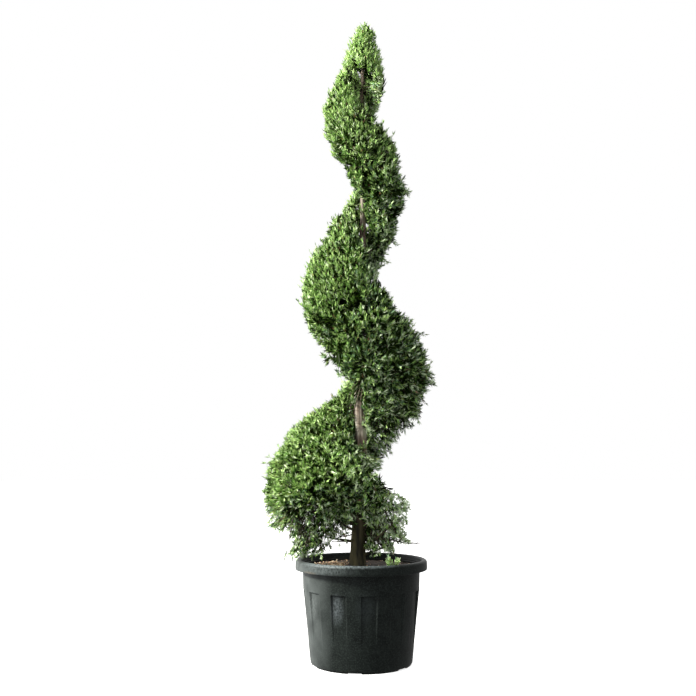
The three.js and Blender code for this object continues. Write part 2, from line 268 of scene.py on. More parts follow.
def chain(material, target, *steps):
    """Builds nodes one after another and links each to the next, up to the target socket."""
    tree = material.node_tree
    last = None
    for kind, output, entry, values in steps:
        node = tree.nodes.new(kind)
        for key, value in values.items():
            if str(key).startswith("."):
                setattr(node, key[1:], value)
            else:
                node.inputs[key].default_value = value
        if last is not None:
            tree.links.new(last, node.inputs[entry])
        last = node.outputs[output]
    if target is not None:
        tree.links.new(last, target)
    return last


def ramp(material, source, stops):
    """A colour for each value of the source: stops are (place, colour)."""
    node = material.node_tree.nodes.new("ShaderNodeValToRGB")
    while len(node.color_ramp.elements) < len(stops):
        node.color_ramp.elements.new(0.5)
    for element, (place, color) in zip(node.color_ramp.elements, stops):
        element.position = place
        element.color = (*color, 1)
    material.node_tree.links.new(source, node.inputs["Fac"])
    return node.outputs["Color"]


def blend_colors(material, share, first, second):
    """Mixes two colours by a share. A colour given as three numbers is set on the socket."""
    node = material.node_tree.nodes.new("ShaderNodeMix")
    node.data_type = "RGBA"
    links = material.node_tree.links
    for socket, value in ((node.inputs[0], share), (node.inputs[6], first), (node.inputs[7], second)):
        if isinstance(value, tuple):
            socket.default_value = (*value, 1)
        elif isinstance(value, float):
            socket.default_value = value
        else:
            links.new(value, socket)
    return node.outputs[2]


def noise(material, scale, detail, stretch=(1, 1, 1), contrast=None):
    """Uneven light and dark, in the piece's own coordinates."""
    steps = [
        ("ShaderNodeTexCoord", "Object", None, {}),
        ("ShaderNodeMapping", "Vector", "Vector", {"Scale": stretch}),
        ("ShaderNodeTexNoise", "Fac", "Vector", {"Scale": scale, "Detail": detail}),
    ]
    if contrast:
        steps.append(("ShaderNodeMapRange", "Result", "Value",
                      {"From Min": contrast[0], "From Max": contrast[1]}))
    return chain(material, None, *steps)


def bump(material, shader, source, strength, distance):
    node = material.node_tree.nodes.new("ShaderNodeBump")
    node.inputs["Strength"].default_value = strength
    node.inputs["Distance"].default_value = distance
    material.node_tree.links.new(source, node.inputs["Height"])
    material.node_tree.links.new(node.outputs["Normal"], shader.inputs["Normal"])


def spot(material, middle, size):
    """A soft-edged patch round a place on the piece: 1 in the middle, 0 at the given size and beyond."""
    return chain(material, None,
                 ("ShaderNodeTexCoord", "Object", None, {}),
                 ("ShaderNodeVectorMath", "Vector", 0, {".operation": "SUBTRACT", 1: middle}),
                 ("ShaderNodeVectorMath", "Vector", 0, {".operation": "DIVIDE", 1: size}),
                 ("ShaderNodeVectorMath", "Value", 0, {".operation": "LENGTH"}),
                 ("ShaderNodeMapRange", "Result", "Value", {"From Min": 1.0, "From Max": 0.3}))


def times(material, first, second):
    node = material.node_tree.nodes.new("ShaderNodeMath")
    node.operation = "MULTIPLY"
    material.node_tree.links.new(first, node.inputs[0])
    material.node_tree.links.new(second, node.inputs[1])
    return node.outputs[0]


mottle = noise(pot_plastic, 26, 6)
plastic_color = ramp(pot_plastic, mottle, [(0.3, PLASTIC_DARK), (0.7, PLASTIC_PALE)])
grain = noise(pot_plastic, 260, 5, contrast=(0.46, 0.66))
plastic_color = blend_colors(pot_plastic, grain, plastic_color, PLASTIC_GRAIN)
# Painted sheen: the left side of the pot made paler in streaks, where the lamp falls on it.
streaks = noise(pot_plastic, 14, 6, contrast=(0.15, 0.60))
painted_sheen = times(pot_plastic, streaks, spot(pot_plastic, SHEEN_PLACE, SHEEN_SIZE))
plastic_color = blend_colors(pot_plastic, painted_sheen, plastic_color, SHEEN_COLOR)
# Smudges of dried dust and a tan stain, and painted highlights on the rim.
for middle, size, dust_and_highlight in DUST_AND_HIGHLIGHT_SPOTS:
    specks = noise(pot_plastic, 170, 8, (1, 1, 0.8), (0.30, 0.66))
    dust_and_highlight_mask = times(pot_plastic, specks, spot(pot_plastic, middle, size))
    plastic_color = blend_colors(pot_plastic, dust_and_highlight_mask, plastic_color, dust_and_highlight)
pot_plastic.node_tree.links.new(plastic_color, pot_shader.inputs["Base Color"])
pot_shader.inputs["Specular IOR Level"].default_value = 0.13
chain(pot_plastic, pot_shader.inputs["Roughness"],
      ("ShaderNodeTexCoord", "Object", None, {}),
      ("ShaderNodeTexNoise", "Fac", "Vector", {"Scale": 40, "Detail": 4}),
      ("ShaderNodeMapRange", "Result", "Value", {"To Min": 0.34, "To Max": 0.52}))
bump(pot_plastic, pot_shader, noise(pot_plastic, 420, 3), 0.35, 0.0007)
pot_inside, inside_shader = new_material("pot_inside", 0.85)
inside_shader.inputs["Specular IOR Level"].default_value = 0.15
soiled = ramp(pot_inside, noise(pot_inside, 60, 5),
              [(0.35, (0.0025, 0.0025, 0.0018)), (0.7, (0.014, 0.013, 0.008))])
pot_inside.node_tree.links.new(soiled, inside_shader.inputs["Base Color"])

pot = new_piece("nursery_pot", pot_points, pot_faces, pot_plastic, pot_inside)
outside_faces = (rim_rows - 2) * len(columns)
finishes = [0] * outside_faces + [1] * (len(pot.data.polygons) - outside_faces)
pot.data.polygons.foreach_set("material_index", finishes)
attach(pot, "root")
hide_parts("pot")

# ---- Potting mix ---------------------------------------------------------------------------------
# Dark moist potting mix fills the pot to a finger's width under the rim, heaped a little round the
# stem, and here and there lumpy.

MIX_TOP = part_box("potting_mix")[1].z
MIX_RADIUS = 0.1985
MIX_FLOOR, MIX_FLOOR_RADIUS = 0.012, 0.160
MIX_RINGS, MIX_SIDES = 46, 150
STEM_X = -0.014                        # where the stem comes out of the mix
HEAP_X = -0.085                        # where the mix is heaped up beside it


def rough(x, y, z=0.0, size=1.0, seed=0.0):
    """A cheap smooth unevenness from -1 to 1, the same each run."""
    x, y, z = x / size + seed, y / size - seed, z / size + 0.7 * seed
    return (np.sin(2.1 * x + 1.3 * np.sin(1.7 * y + z)) + np.sin(2.3 * y + 1.1 * np.sin(1.9 * z + x))
            + np.sin(2.7 * z + 1.2 * np.sin(2.2 * x - y))) / 3


def mix_height(x, y):
    """Height of the surface: lumpy, and heaped round the stem and towards the left."""
    stem = np.hypot(x - STEM_X, y)
    heap = 0.006 * np.exp(-((stem / 0.05) ** 2))
    heap += 0.007 * np.exp(-(((x - HEAP_X) / 0.06) ** 2 + (y / 0.08) ** 2))
    lumps = 0.0022 * rough(x, y, size=0.011, seed=3) + 0.0015 * rough(x, y, size=0.005, seed=9)
    return MIX_TOP - 0.002 + heap + lumps


mix_points = []
around = [2 * math.pi * i / MIX_SIDES for i in range(MIX_SIDES)]
for ring in range(1, MIX_RINGS + 1):
    r = MIX_RADIUS * ring / MIX_RINGS
    for a in around:
        x, y = r * math.cos(a), r * math.sin(a)
        mix_points.append((x, y, float(mix_height(x, y))))
mix_points += [(MIX_FLOOR_RADIUS * math.cos(a), MIX_FLOOR_RADIUS * math.sin(a), MIX_FLOOR) for a in around]
potting_mix, mix_shader = new_material("potting_mix", 0.95)
crumbs = ramp(potting_mix, noise(potting_mix, 160, 8),
              [(0.3, (0.012, 0.009, 0.006)), (0.55, (0.045, 0.030, 0.019)), (0.75, (0.11, 0.075, 0.045))])
potting_mix.node_tree.links.new(crumbs, mix_shader.inputs["Base Color"])
bump(potting_mix, mix_shader, noise(potting_mix, 300, 6), 0.8, 0.002)
mix_faces = ring_faces(0, MIX_SIDES, MIX_RINGS + 1, inside_out=True)
mix = new_piece("potting_mix_top", mix_points, mix_faces, potting_mix)
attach(mix, "root")
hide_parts("potting_mix")

# ---- Gravel --------------------------------------------------------------------------------------
# Small rounded stones in tan, rosy, cream and dark tones, strewn by hand on the potting mix. They lie
# thickest on the left of the stem.

STONES = 640
STONE_SHAPES, STONE_SQUASH = 4, (1.0, 0.8, 0.62)
STONE_LEAST, STONE_MOST = 0.0045, 0.0085
STONE_COLORS = {"tan_stone": (0.42, 0.27, 0.15), "rosy_stone": (0.38, 0.20, 0.13),
                "cream_stone": (0.55, 0.45, 0.31), "dark_stone": (0.12, 0.09, 0.07)}
STONE_SHARES = (0.38, 0.17, 0.33, 0.12)
GRAVEL_MIDDLE, GRAVEL_SPREAD, GRAVEL_END = (-0.100, -0.010), (0.048, 0.090), -0.035
STEM_CLEAR = 0.033                     # no stone lies nearer the stem's middle

chance = np.random.default_rng(7)


def unit(v):
    """These vectors, one unit long."""
    return v / np.maximum(np.linalg.norm(v, axis=-1, keepdims=True), 1e-9)


def stone_shape(name, seed):
    """One gravel stone: a small ball, squashed and chipped."""
    mesh = bpy.data.meshes.new(name)
    ball = bmesh.new()
    bmesh.ops.create_icosphere(ball, subdivisions=2, radius=0.5)
    draw = np.random.default_rng(seed)
    flats = unit(draw.normal(size=(9, 3)))
    for v in ball.verts:
        p = np.array(v.co)
        for flat in flats:
            over = p @ flat - 0.40
            p = p - flat * max(over, 0) * 0.8
        v.co = p * STONE_SQUASH
    ball.to_mesh(mesh)
    ball.free()
    return bpy.data.objects.new(name, mesh)


def whole_number(sockets, name):
    """The socket of this name that holds a whole number."""
    return next(s for s in sockets if s.name == name and s.type == "INT")


def scatter_tree(name, scale_name, tones):
    """Sets a shape of a collection on each point, turned and sized by the point, in the point's finish."""
    tree = bpy.data.node_groups.new(name, "GeometryNodeTree")
    face = tree.interface
    face.new_socket("Geometry", in_out="INPUT", socket_type="NodeSocketGeometry")
    face.new_socket("Shapes", in_out="INPUT", socket_type="NodeSocketCollection")
    size_input = face.new_socket(scale_name, in_out="INPUT", socket_type="NodeSocketFloat")
    size_input.default_value = 1.0
    seed_input = face.new_socket("Seed", in_out="INPUT", socket_type="NodeSocketInt")
    seed_input.default_value = 5
    face.new_socket("Geometry", in_out="OUTPUT", socket_type="NodeSocketGeometry")
    nodes, links = tree.nodes, tree.links
    entry, leave = nodes.new("NodeGroupInput"), nodes.new("NodeGroupOutput")

    def attribute(kind, label):
        node = nodes.new("GeometryNodeInputNamedAttribute")
        node.data_type = kind
        node.inputs["Name"].default_value = label
        return node.outputs["Attribute"]

    shapes = nodes.new("GeometryNodeCollectionInfo")
    shapes.inputs["Separate Children"].default_value = True
    shapes.inputs["Reset Children"].default_value = True
    pick = nodes.new("FunctionNodeRandomValue")
    pick.data_type = "INT"
    whole_number(pick.inputs, "Min").default_value = 0
    whole_number(pick.inputs, "Max").default_value = 99
    turn = nodes.new("FunctionNodeEulerToRotation")
    size = nodes.new("ShaderNodeMath")
    size.operation = "MULTIPLY"
    place = nodes.new("GeometryNodeInstanceOnPoints")
    place.inputs["Pick Instance"].default_value = True
    whole = nodes.new("GeometryNodeRealizeInstances")
    links.new(entry.outputs["Shapes"], shapes.inputs["Collection"])
    links.new(entry.outputs["Seed"], pick.inputs["Seed"])
    links.new(entry.outputs["Geometry"], place.inputs["Points"])
    links.new(shapes.outputs["Instances"], place.inputs["Instance"])
    links.new(whole_number(pick.outputs, "Value"), place.inputs["Instance Index"])
    links.new(attribute("FLOAT_VECTOR", "turn"), turn.inputs[0])
    links.new(turn.outputs[0], place.inputs["Rotation"])
    links.new(attribute("FLOAT", "size"), size.inputs[0])
    links.new(entry.outputs[scale_name], size.inputs[1])
    links.new(size.outputs[0], place.inputs["Scale"])
    links.new(place.outputs["Instances"], whole.inputs["Geometry"])
    last = whole.outputs["Geometry"]
    for tone, material in enumerate(tones):
        same = nodes.new("FunctionNodeCompare")
        same.data_type = "INT"
        same.operation = "EQUAL"
        whole_number(same.inputs, "B").default_value = tone
        links.new(attribute("INT", "tone"), whole_number(same.inputs, "A"))
        finish = nodes.new("GeometryNodeSetMaterial")
        finish.inputs["Material"].default_value = material
        links.new(last, finish.inputs["Geometry"])
        links.new(same.outputs["Result"], finish.inputs["Selection"])
        last = finish.outputs["Geometry"]
    links.new(last, leave.inputs["Geometry"])
    return tree


def scattered(name, tree, shapes, points, turns, sizes, tones, smooth=False):
    """The plain joined mesh of a scatter tree over these points."""
    mesh = bpy.data.meshes.new(name)
    mesh.from_pydata([tuple(p) for p in points], [], [])
    for label, kind, key, values in (("turn", "FLOAT_VECTOR", "vector", turns),
                                     ("size", "FLOAT", "value", sizes),
                                     ("tone", "INT", "value", tones)):
        layer = mesh.attributes.new(label, kind, "POINT")
        layer.data.foreach_set(key, np.asarray(values).ravel())
    carrier = bpy.data.objects.new(name + "_points", mesh)
    bpy.context.scene.collection.objects.link(carrier)
    spread = carrier.modifiers.new("scatter", "NODES")
    spread.node_group = tree
    entries = {s.name: s.identifier for s in tree.interface.items_tree if s.in_out == "INPUT"}
    spread[entries["Shapes"]] = shapes
    depsgraph = bpy.context.evaluated_depsgraph_get()
    joined = bpy.data.meshes.new_from_object(carrier.evaluated_get(depsgraph))
    for layer in [a.name for a in joined.attributes if a.name in ("turn", "size", "tone")]:
        joined.attributes.remove(joined.attributes[layer])
    bpy.data.objects.remove(carrier)
    joined.name = name
    joined.polygons.foreach_set("use_smooth", [smooth] * len(joined.polygons))
    piece = bpy.data.objects.new(name, joined)
    bpy.context.scene.collection.objects.link(piece)
    return piece


stone_finishes = []
for name, color in STONE_COLORS.items():
    finish, shader = new_material(name, 0.85)
    paler = tuple(min(1.35 * c, 1) for c in color)
    speckled = ramp(finish, noise(finish, 240, 4), [(0.35, color), (0.7, paler)])
    finish.node_tree.links.new(speckled, shader.inputs["Base Color"])
    stone_finishes.append(finish)
stones = bpy.data.collections.new("stones")
for i in range(STONE_SHAPES):
    stones.objects.link(stone_shape(f"stone_{i}", 20 + i))
spots = []
while len(spots) < STONES:
    r, a = MIX_RADIUS * math.sqrt(chance.random()) * 0.97, chance.random() * 2 * math.pi
    x, y = r * math.cos(a), r * math.sin(a)
    from_middle = np.subtract((x, y), GRAVEL_MIDDLE) / GRAVEL_SPREAD
    patch = math.exp(-(from_middle[0] ** 2 + from_middle[1] ** 2)) * (x < GRAVEL_END)
    if math.hypot(x - STEM_X, y) > STEM_CLEAR and chance.random() < 0.012 + patch:
        spots.append((x, y, float(mix_height(x, y)) + 0.0010))
spots = np.array(spots)
gravel = scattered(
    "gravel", scatter_tree("scatter_gravel", "Stone size", stone_finishes), stones, spots,
    chance.uniform(-math.pi, math.pi, (len(spots), 3)) * (0.15, 0.15, 1),
    chance.uniform(STONE_LEAST, STONE_MOST, len(spots)),
    chance.choice(len(STONE_COLORS), len(spots), p=STONE_SHARES), smooth=True,
)
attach(gravel, "root")

# ---- Trunk ---------------------------------------------------------------------------------------
# One straight stem from the potting mix to the tip. The bark is thin, fluted and stringy: olive and
# reddish at the foot, pale grey-beige with pinkish patches where the clipping bares it. It is painted
# darker at the foot as shade under the lowest boughs, and paler near the tip as light.

trunk_corners = np.array([v.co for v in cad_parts["trunk"].data.vertices])
levels = np.unique(np.round(trunk_corners[:, 2], 4))
rings = [trunk_corners[np.abs(trunk_corners[:, 2] - z) < 2e-4] for z in levels]
rings = [ring[np.linalg.norm(ring - ring.mean(0), axis=1) > 1e-3] for ring in rings]
RING_MIDDLES = np.array([(ring.max(0) + ring.min(0)) / 2 for ring in rings])
RING_RADII = np.array([
    np.linalg.norm(ring - middle, axis=1).mean() for ring, middle in zip(rings, RING_MIDDLES)
])


def trunk_at(z):
    """Middle and radius of the stem at these heights."""
    z = np.asarray(z, float)
    x = np.interp(z, RING_MIDDLES[:, 2], RING_MIDDLES[:, 0])
    y = np.interp(z, RING_MIDDLES[:, 2], RING_MIDDLES[:, 1])
    return np.stack([x, y, z], -1), np.interp(z, RING_MIDDLES[:, 2], RING_RADII)


BARK_SIDES, BARK_STEP = 40, 0.005
REDDISH_BARK = [                       # height, and how far the grey skin has peeled off there
    (0.735, 0.9), (0.768, 0.1), (1.400, 0.1), (1.490, 0.9), (1.512, 0.8), (1.535, 0.0), (1.800, 0.0),
    (2.020, 0.55), (2.060, 1.0), (2.200, 0.9),
]
SHADED_FOOT_HEIGHTS = (0.62, 0.44)               # heights between which the bark is painted dark, as shade under the lowest boughs, and olive
LIT_TIP_HEIGHTS = (1.94, 2.02)              # heights between which it is painted pale and rosy, as light near the tip
trunk_foot, trunk_tip = RING_MIDDLES[0, 2], RING_MIDDLES[-1, 2]
heights = np.arange(trunk_foot - 0.008, trunk_tip, BARK_STEP)
middles, radii = trunk_at(heights)
turns = np.linspace(0, 2 * math.pi, BARK_SIDES, endpoint=False)
z_grid, a_grid = np.meshgrid(heights, turns, indexing="ij")
flutes = np.sin(7 * a_grid + 2.2 * np.sin(3.1 * z_grid + 1) + 5 * z_grid)
strings = np.sin(17 * a_grid + 3 * np.sin(8 * z_grid) + 2 * rough(z_grid * 30, a_grid * 2, seed=2))
bark_lumps = rough(np.cos(a_grid) * 3, np.sin(a_grid) * 3, z_grid * 26, seed=5)
r_grid = radii[:, None] * (1 + 0.045 * flutes + 0.03 * strings + 0.04 * bark_lumps)
bark_points = np.stack([
    middles[:, None, 0] + r_grid * np.cos(a_grid),
    middles[:, None, 1] + r_grid * np.sin(a_grid),
    z_grid,
], -1).reshape(-1, 3)


def up_the_stem(material, low, high):
    """0 up to the first height and 1 from the second, for what changes up the stem."""
    return chain(material, None,
                 ("ShaderNodeTexCoord", "Object", None, {}),
                 ("ShaderNodeSeparateXYZ", "Z", "Vector", {}),
                 ("ShaderNodeMapRange", "Result", "Value", {"From Min": low, "From Max": high}))


bark, bark_shader = new_material("bark", 0.85)
fibres = noise(bark, 60, 8, (1, 1, 0.12))
bark_tint = ramp(bark, fibres,
                 [(0.30, (0.045, 0.036, 0.027)), (0.48, (0.17, 0.145, 0.11)), (0.68, (0.50, 0.47, 0.40))])
patches = noise(bark, 17, 5, (1, 1, 0.4), (0.55, 0.67))
bark_tint = blend_colors(bark, patches, bark_tint, (0.150, 0.095, 0.066))
peeled = ramp(bark, up_the_stem(bark, 0.0, trunk_tip),
              [(z / trunk_tip, (share, share, share)) for z, share in REDDISH_BARK])
bark_tint = blend_colors(bark, peeled, bark_tint,
                         ramp(bark, fibres, [(0.3, (0.040, 0.024, 0.017)), (0.7, (0.25, 0.155, 0.115))]))
# Dark olive towards the foot: painted shade under the lowest boughs.
shaded_olive_foot = ramp(bark, fibres, [(0.38, (0.009, 0.0085, 0.0035)), (0.60, (0.085, 0.076, 0.034))])
bark_tint = blend_colors(bark, up_the_stem(bark, *SHADED_FOOT_HEIGHTS), bark_tint, shaded_olive_foot)
# Pale and rosy near the tip: painted light on the stem.
lit_rosy_top = ramp(bark, fibres, [(0.3, (0.30, 0.21, 0.16)), (0.7, (0.74, 0.60, 0.48))])
bark_tint = blend_colors(bark, up_the_stem(bark, *LIT_TIP_HEIGHTS), bark_tint, lit_rosy_top)
bark.node_tree.links.new(bark_tint, bark_shader.inputs["Base Color"])
bump(bark, bark_shader, noise(bark, 130, 6, (1, 1, 0.15)), 0.7, 0.002)
trunk = new_piece("trunk_bark", bark_points, ring_faces(0, BARK_SIDES, len(heights)), bark)
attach(trunk, "root")
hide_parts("trunk")

# ---- Low boughs ----------------------------------------------------------------------------------
# The lowest boughs are bare from the stem to where they enter the foliage, because the plant was
# trimmed up from the pot. Their bark is like the stem's, thinner and smoother.

LOW_BOUGHS = [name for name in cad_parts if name.startswith("bough_")]
LIMB_RADIUS, LIMB_SIDES, LIMB_STEPS = 0.0052, 12, 26
limb_points, limb_faces = [], []
for name in sorted(LOW_BOUGHS):
    corners = np.array([v.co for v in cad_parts[name].data.vertices])
    stem = trunk_at(corners[:, 2].mean())[0]
    reach = np.hypot(*(corners - stem)[:, :2].T)
    near, far = corners[np.argsort(reach)[:10]].mean(0), corners[np.argsort(reach)[-10:]].mean(0)
    run = far - near
    near, far = near - 0.12 * run, far + 0.5 * run
    middle = (near + far) / 2 - np.array((0, 0, 0.04 * np.linalg.norm(run)))
    limb_faces += ring_faces(len(limb_points), LIMB_SIDES, LIMB_STEPS + 1, inside_out=True)
    for step in range(LIMB_STEPS + 1):
        t = step / LIMB_STEPS
        p = (1 - t) ** 2 * near + 2 * t * (1 - t) * middle + t * t * far
        along_run = unit(2 * (1 - t) * (middle - near) + 2 * t * (far - middle))
        sideways = unit(np.cross(along_run, (0, 0, 1)))
        upward = np.cross(sideways, along_run)
        for i in range(LIMB_SIDES):
            a = 2 * math.pi * i / LIMB_SIDES
            ridges = 0.10 * math.sin(3 * a + 9 * t) + 0.05 * math.sin(5 * a - 21 * t)
            r = LIMB_RADIUS * (1 - 0.55 * t) * (1 + ridges)
            limb_points.append(p + r * (math.cos(a) * sideways + math.sin(a) * upward))
limbs = new_piece("low_boughs", limb_points, limb_faces, bark)
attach(limbs, "root")
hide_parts(*LOW_BOUGHS)

# ---- Foliage -------------------------------------------------------------------------------------
# A conifer of the cypress kind, clipped into one band that winds down the stem. From the stem
# boughs rise outwards, each carries many short shoots, and each shoot a plume of small flat sprays
# of scale leaves, yellow-green at the clipped surface and dark inside. Their tones are painted light
# and shade: palest where lit, with painted glints in the shade, and painted near black deep inside.

GROWTH_SEED = 12
BOUGH_SPACING = 0.085                  # between the tips of neighbouring boughs
SHOOT_SPACING = 0.0125                 # between the tips of neighbouring shoots
OUTER_SPRAYS, INNER_SPRAYS = 22, 4     # on each shoot
PLUME_LENGTH = 0.038                   # the part of a shoot that carries the outer sprays
SPRAY_LENGTH = 0.0205
COARSE = 2.2                           # how much longer the inner sprays are
SPRAY_SHAPES = 5
BLADE_WIDTH, SIDE_BLADE_WIDTH = 0.155, 0.135
SIDE_BLADE_AT, SIDE_BLADE_LENGTH = 0.22, 0.5676
FAN_TURN = 2.4                         # radians round the shoot from one spray to the next
SPRAY_LEAN, END_LEAN, LEAN_SPREAD = 26, 6, 8  # degrees off the shoot, in the plume and at its end
INNER_STEP = 0.012                     # from one inner spray to the next
GROWTH_ROOM = 0.019                    # how far sprays may stand out of the clipped outline's box
TIP_FILL = 0.013                       # how far the shoots of the tip stand out beyond the clipped line
FURTHEST_OUT, FURTHEST_SHOOT = 0.017, 0.024  # the most that any shoot stands out, square and along it
LOWEST_BOUGH = 0.455                   # height of the lowest leafy bough on the stem
BOUGH_CLIMB = 0.5                      # how far a bough rises for each metre outwards
BOUGH_SHARE = 0.80                     # how much of the way to the clipped line it goes
BOUGH_SAG, BOUGH_LIFT = 0.10, 0.07     # how much its middle hangs, or is raised under a mass
BOUGH_POINTS, SHOOT_POINTS = 12, 4
BOUGH_RADIUS = (0.0011, 0.0125)        # the least, and more for each metre of length
SHOOT_RADIUS = (0.0006, 0.007)
SHADE = 0.05                           # shoots less lit than this are in the shade
SCORE_OF_LIGHT, SCORE_OF_DEPTH, SCORE_OF_PATCH, SCORE_START = 0.50, 28, 0.12, 0.55
TONE_STEPS = (1.9, 0.60, 0.25, -0.10, -0.45)  # the least score of each tone, from the palest down
SHADE_PALE_STEP = 1.25                 # the least score of the painted glint that the palest sprays get in the shade
BLUISH_SHARE, DRY_SHARE = 0.20, 0.010
OLIVE_SHARE, OLIVE_MORE = 0.10, 0.30   # everywhere, and more in patches of the lower turns
SEAM_START, SEAM_TURN = -45, 90        # degrees of the upright faces where two masses meet
STEM_OPENINGS = [                      # heights, and how far it is clear to the left and right
    (1.985, 2.110, 0.002, 0.003),
    (1.490, 1.550, 0.001, 0.001), (1.572, 1.620, 0.000, -0.002),
    (0.735, 0.790, 0.001, 0.001), (0.790, 0.885, -0.002, -0.012),
    (0.300, 0.450, 0.003, 0.003),
]
# The tones from the pale tips down to the inner green are dealt by how lit and how deep each spray is, as
# painted light and shade: the pale tips are a painted highlight, the pale tips in the shade a painted glint
# of the sky, and the deep and inner greens painted shade. Olive and dry are the leaves' own tones;
# blue-green is dealt only in the shade.
LEAF_COLORS = {
    "pale_tip": (0.630, 0.760, 0.465),
    "pale_shade_tip": (0.590, 0.710, 0.460),
    "new_growth": (0.390, 0.575, 0.186),
    "bright_leaf": (0.234, 0.425, 0.098),
    "leaf_green": (0.114, 0.244, 0.050),
    "olive_green": (0.196, 0.262, 0.060),
    "deep_green": (0.034, 0.088, 0.010),
    "blue_green": (0.162, 0.288, 0.145),
    "inner_green": (0.011, 0.024, 0.002),
    "dry_spray": (0.210, 0.125, 0.060),
}
PALE_HIGHLIGHT, SHADE_GLINT, LIT_NEW, BRIGHT, LEAF, OLIVE, DEEP_SHADE, BLUE, INNER_SHADE, DRY = range(len(LEAF_COLORS))
leaf_finishes = []
for name, color in LEAF_COLORS.items():
    finish, shader = new_material(name, 0.38, color)
    dull = name in ("inner_green", "deep_green")
    shader.inputs["Specular IOR Level"].default_value = 0.05 if dull else 0.4
    leaf_finishes.append(finish)

grow = np.random.default_rng(GROWTH_SEED)


def spray_shape(name, seed):
    """A flat spray of scale leaves, one unit long: a middle blade and a side blade, each with a keel."""
    draw = np.random.default_rng(seed)
    points, faces = [], []

    def blade(base, heading, length, width):
        along_blade = np.array((math.sin(heading), draw.normal(0, 0.20), math.cos(heading)))
        along_blade /= np.linalg.norm(along_blade)
        face = np.array((draw.normal(0, 0.55), 1, draw.normal(0, 0.3)))
        side = np.cross(along_blade, face)
        side *= width / 2 / np.linalg.norm(side)
        keel = np.array((0, 0.25 * width, 0))
        first = len(points)
        points.extend([base, base + 0.45 * length * along_blade + side - keel,
                       base + length * along_blade, base + 0.45 * length * along_blade - side - keel])
        faces.extend([(first, first + 1, first + 2), (first, first + 2, first + 3)])

    blade(np.zeros(3), draw.normal(0, 0.08), 1.0, BLADE_WIDTH)
    side_heading = -draw.choice((-1, 1)) * math.radians(draw.uniform(13, 25))
    fork = np.array((0, 0, SIDE_BLADE_AT + draw.uniform(-0.05, 0.06)))
    blade(fork, side_heading, SIDE_BLADE_LENGTH * draw.uniform(0.8, 1.25), SIDE_BLADE_WIDTH)
    mesh = bpy.data.meshes.new(name)
    mesh.from_pydata([tuple(p) for p in points], [], faces)
    return bpy.data.objects.new(name, mesh)


sprays = bpy.data.collections.new("sprays")
for i in range(SPRAY_SHAPES):
    sprays.objects.link(spray_shape(f"spray_{i}", 60 + i))
spray_tree = scatter_tree("grow_sprays", "Spray length", leaf_finishes)
TIP_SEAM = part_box("foliage_tip")[0].z


def outer_faces(node):
    """Corners, normals and areas of the clipped faces of a mass, without seams and the stem's hole."""
    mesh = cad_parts[node].data
    mesh.calc_loop_triangles()
    corners = np.array([v.co for v in mesh.vertices])
    triangles = corners[np.array([t.vertices[:] for t in mesh.loop_triangles])]
    normals = np.cross(triangles[:, 1] - triangles[:, 0], triangles[:, 2] - triangles[:, 0])
    areas = np.linalg.norm(normals, axis=1) / 2
    normals = unit(normals)
    middle = triangles.mean(1)
    stem, stem_radius = trunk_at(middle[:, 2])
    out = middle - stem
    distance = np.hypot(out[:, 0], out[:, 1])
    azimuth = np.degrees(np.arctan2(out[:, 1], out[:, 0]))
    seam_gap = np.abs((azimuth - SEAM_START + SEAM_TURN / 2) % SEAM_TURN - SEAM_TURN / 2)
    turn = np.radians(azimuth)
    across = np.abs(normals[:, 0] * -np.sin(turn) + normals[:, 1] * np.cos(turn))
    on_seam = (across > 0.97) & (seam_gap * np.pi / 180 * distance < 0.003)
    level_seam = (np.abs(normals[:, 2]) > 0.98) & (np.abs(middle[:, 2] - TIP_SEAM) < 0.002)
    at_stem = distance < stem_radius + 0.003
    keep = ~(on_seam | level_seam | at_stem) & (areas > 1e-9)
    return triangles[keep], normals[keep], areas[keep]


def scattered_points(triangles, normals, areas, spacing, draw):
    """Points over the faces, no two nearer than the spacing."""
    tries = int(areas.sum() / spacing ** 2 * 5)
    chosen = draw.choice(len(areas), tries, p=areas / areas.sum())
    u, v = draw.random((2, tries))
    flip = u + v > 1
    u[flip], v[flip] = 1 - u[flip], 1 - v[flip]
    a, b, c = triangles[chosen].transpose(1, 0, 2)
    points = a + u[:, None] * (b - a) + v[:, None] * (c - a)
    cells, kept = {}, []
    for i, p in enumerate(points):
        key = tuple(np.floor(p / spacing).astype(int))
        close = (
            j
            for dx in (-1, 0, 1) for dy in (-1, 0, 1) for dz in (-1, 0, 1)
            for j in cells.get((key[0] + dx, key[1] + dy, key[2] + dz), ())
        )
        if all((p[0] - q[0]) ** 2 + (p[1] - q[1]) ** 2 + (p[2] - q[2]) ** 2 > spacing ** 2 for q in close):
            cells.setdefault(key, []).append(tuple(p))
            kept.append(i)
    return points[kept], normals[chosen[kept]]


def curve_points(start, knee, end, steps):
    """Points on bent lines that leave each start towards its knee and come into its end."""
    t = np.linspace(0, 1, steps)[None, :, None]
    return (1 - t) ** 2 * start[:, None] + 2 * t * (1 - t) * knee[:, None] + t ** 2 * end[:, None]


def turns_from(heading, roll):
    """Euler turns that lay a shape's +Z along each heading, rolled about it."""
    x, y, z = heading.T
    tilt = np.arccos(np.clip(z, -1, 1))
    azimuth = np.arctan2(y, x)
    ca, sa, ct, st, cr, sr = (f(v) for v in (azimuth, tilt, roll) for f in (np.cos, np.sin))
    # rotation = Rz(azimuth) Ry(tilt) Rz(roll), read back as XYZ turns
    m00 = ca * ct * cr - sa * sr
    m10 = sa * ct * cr + ca * sr
    m20 = -st * cr
    m21 = st * sr
    m22 = ct
    return np.stack([np.arctan2(m21, m22), -np.arcsin(np.clip(m20, -1, 1)), np.arctan2(m10, m00)], -1)


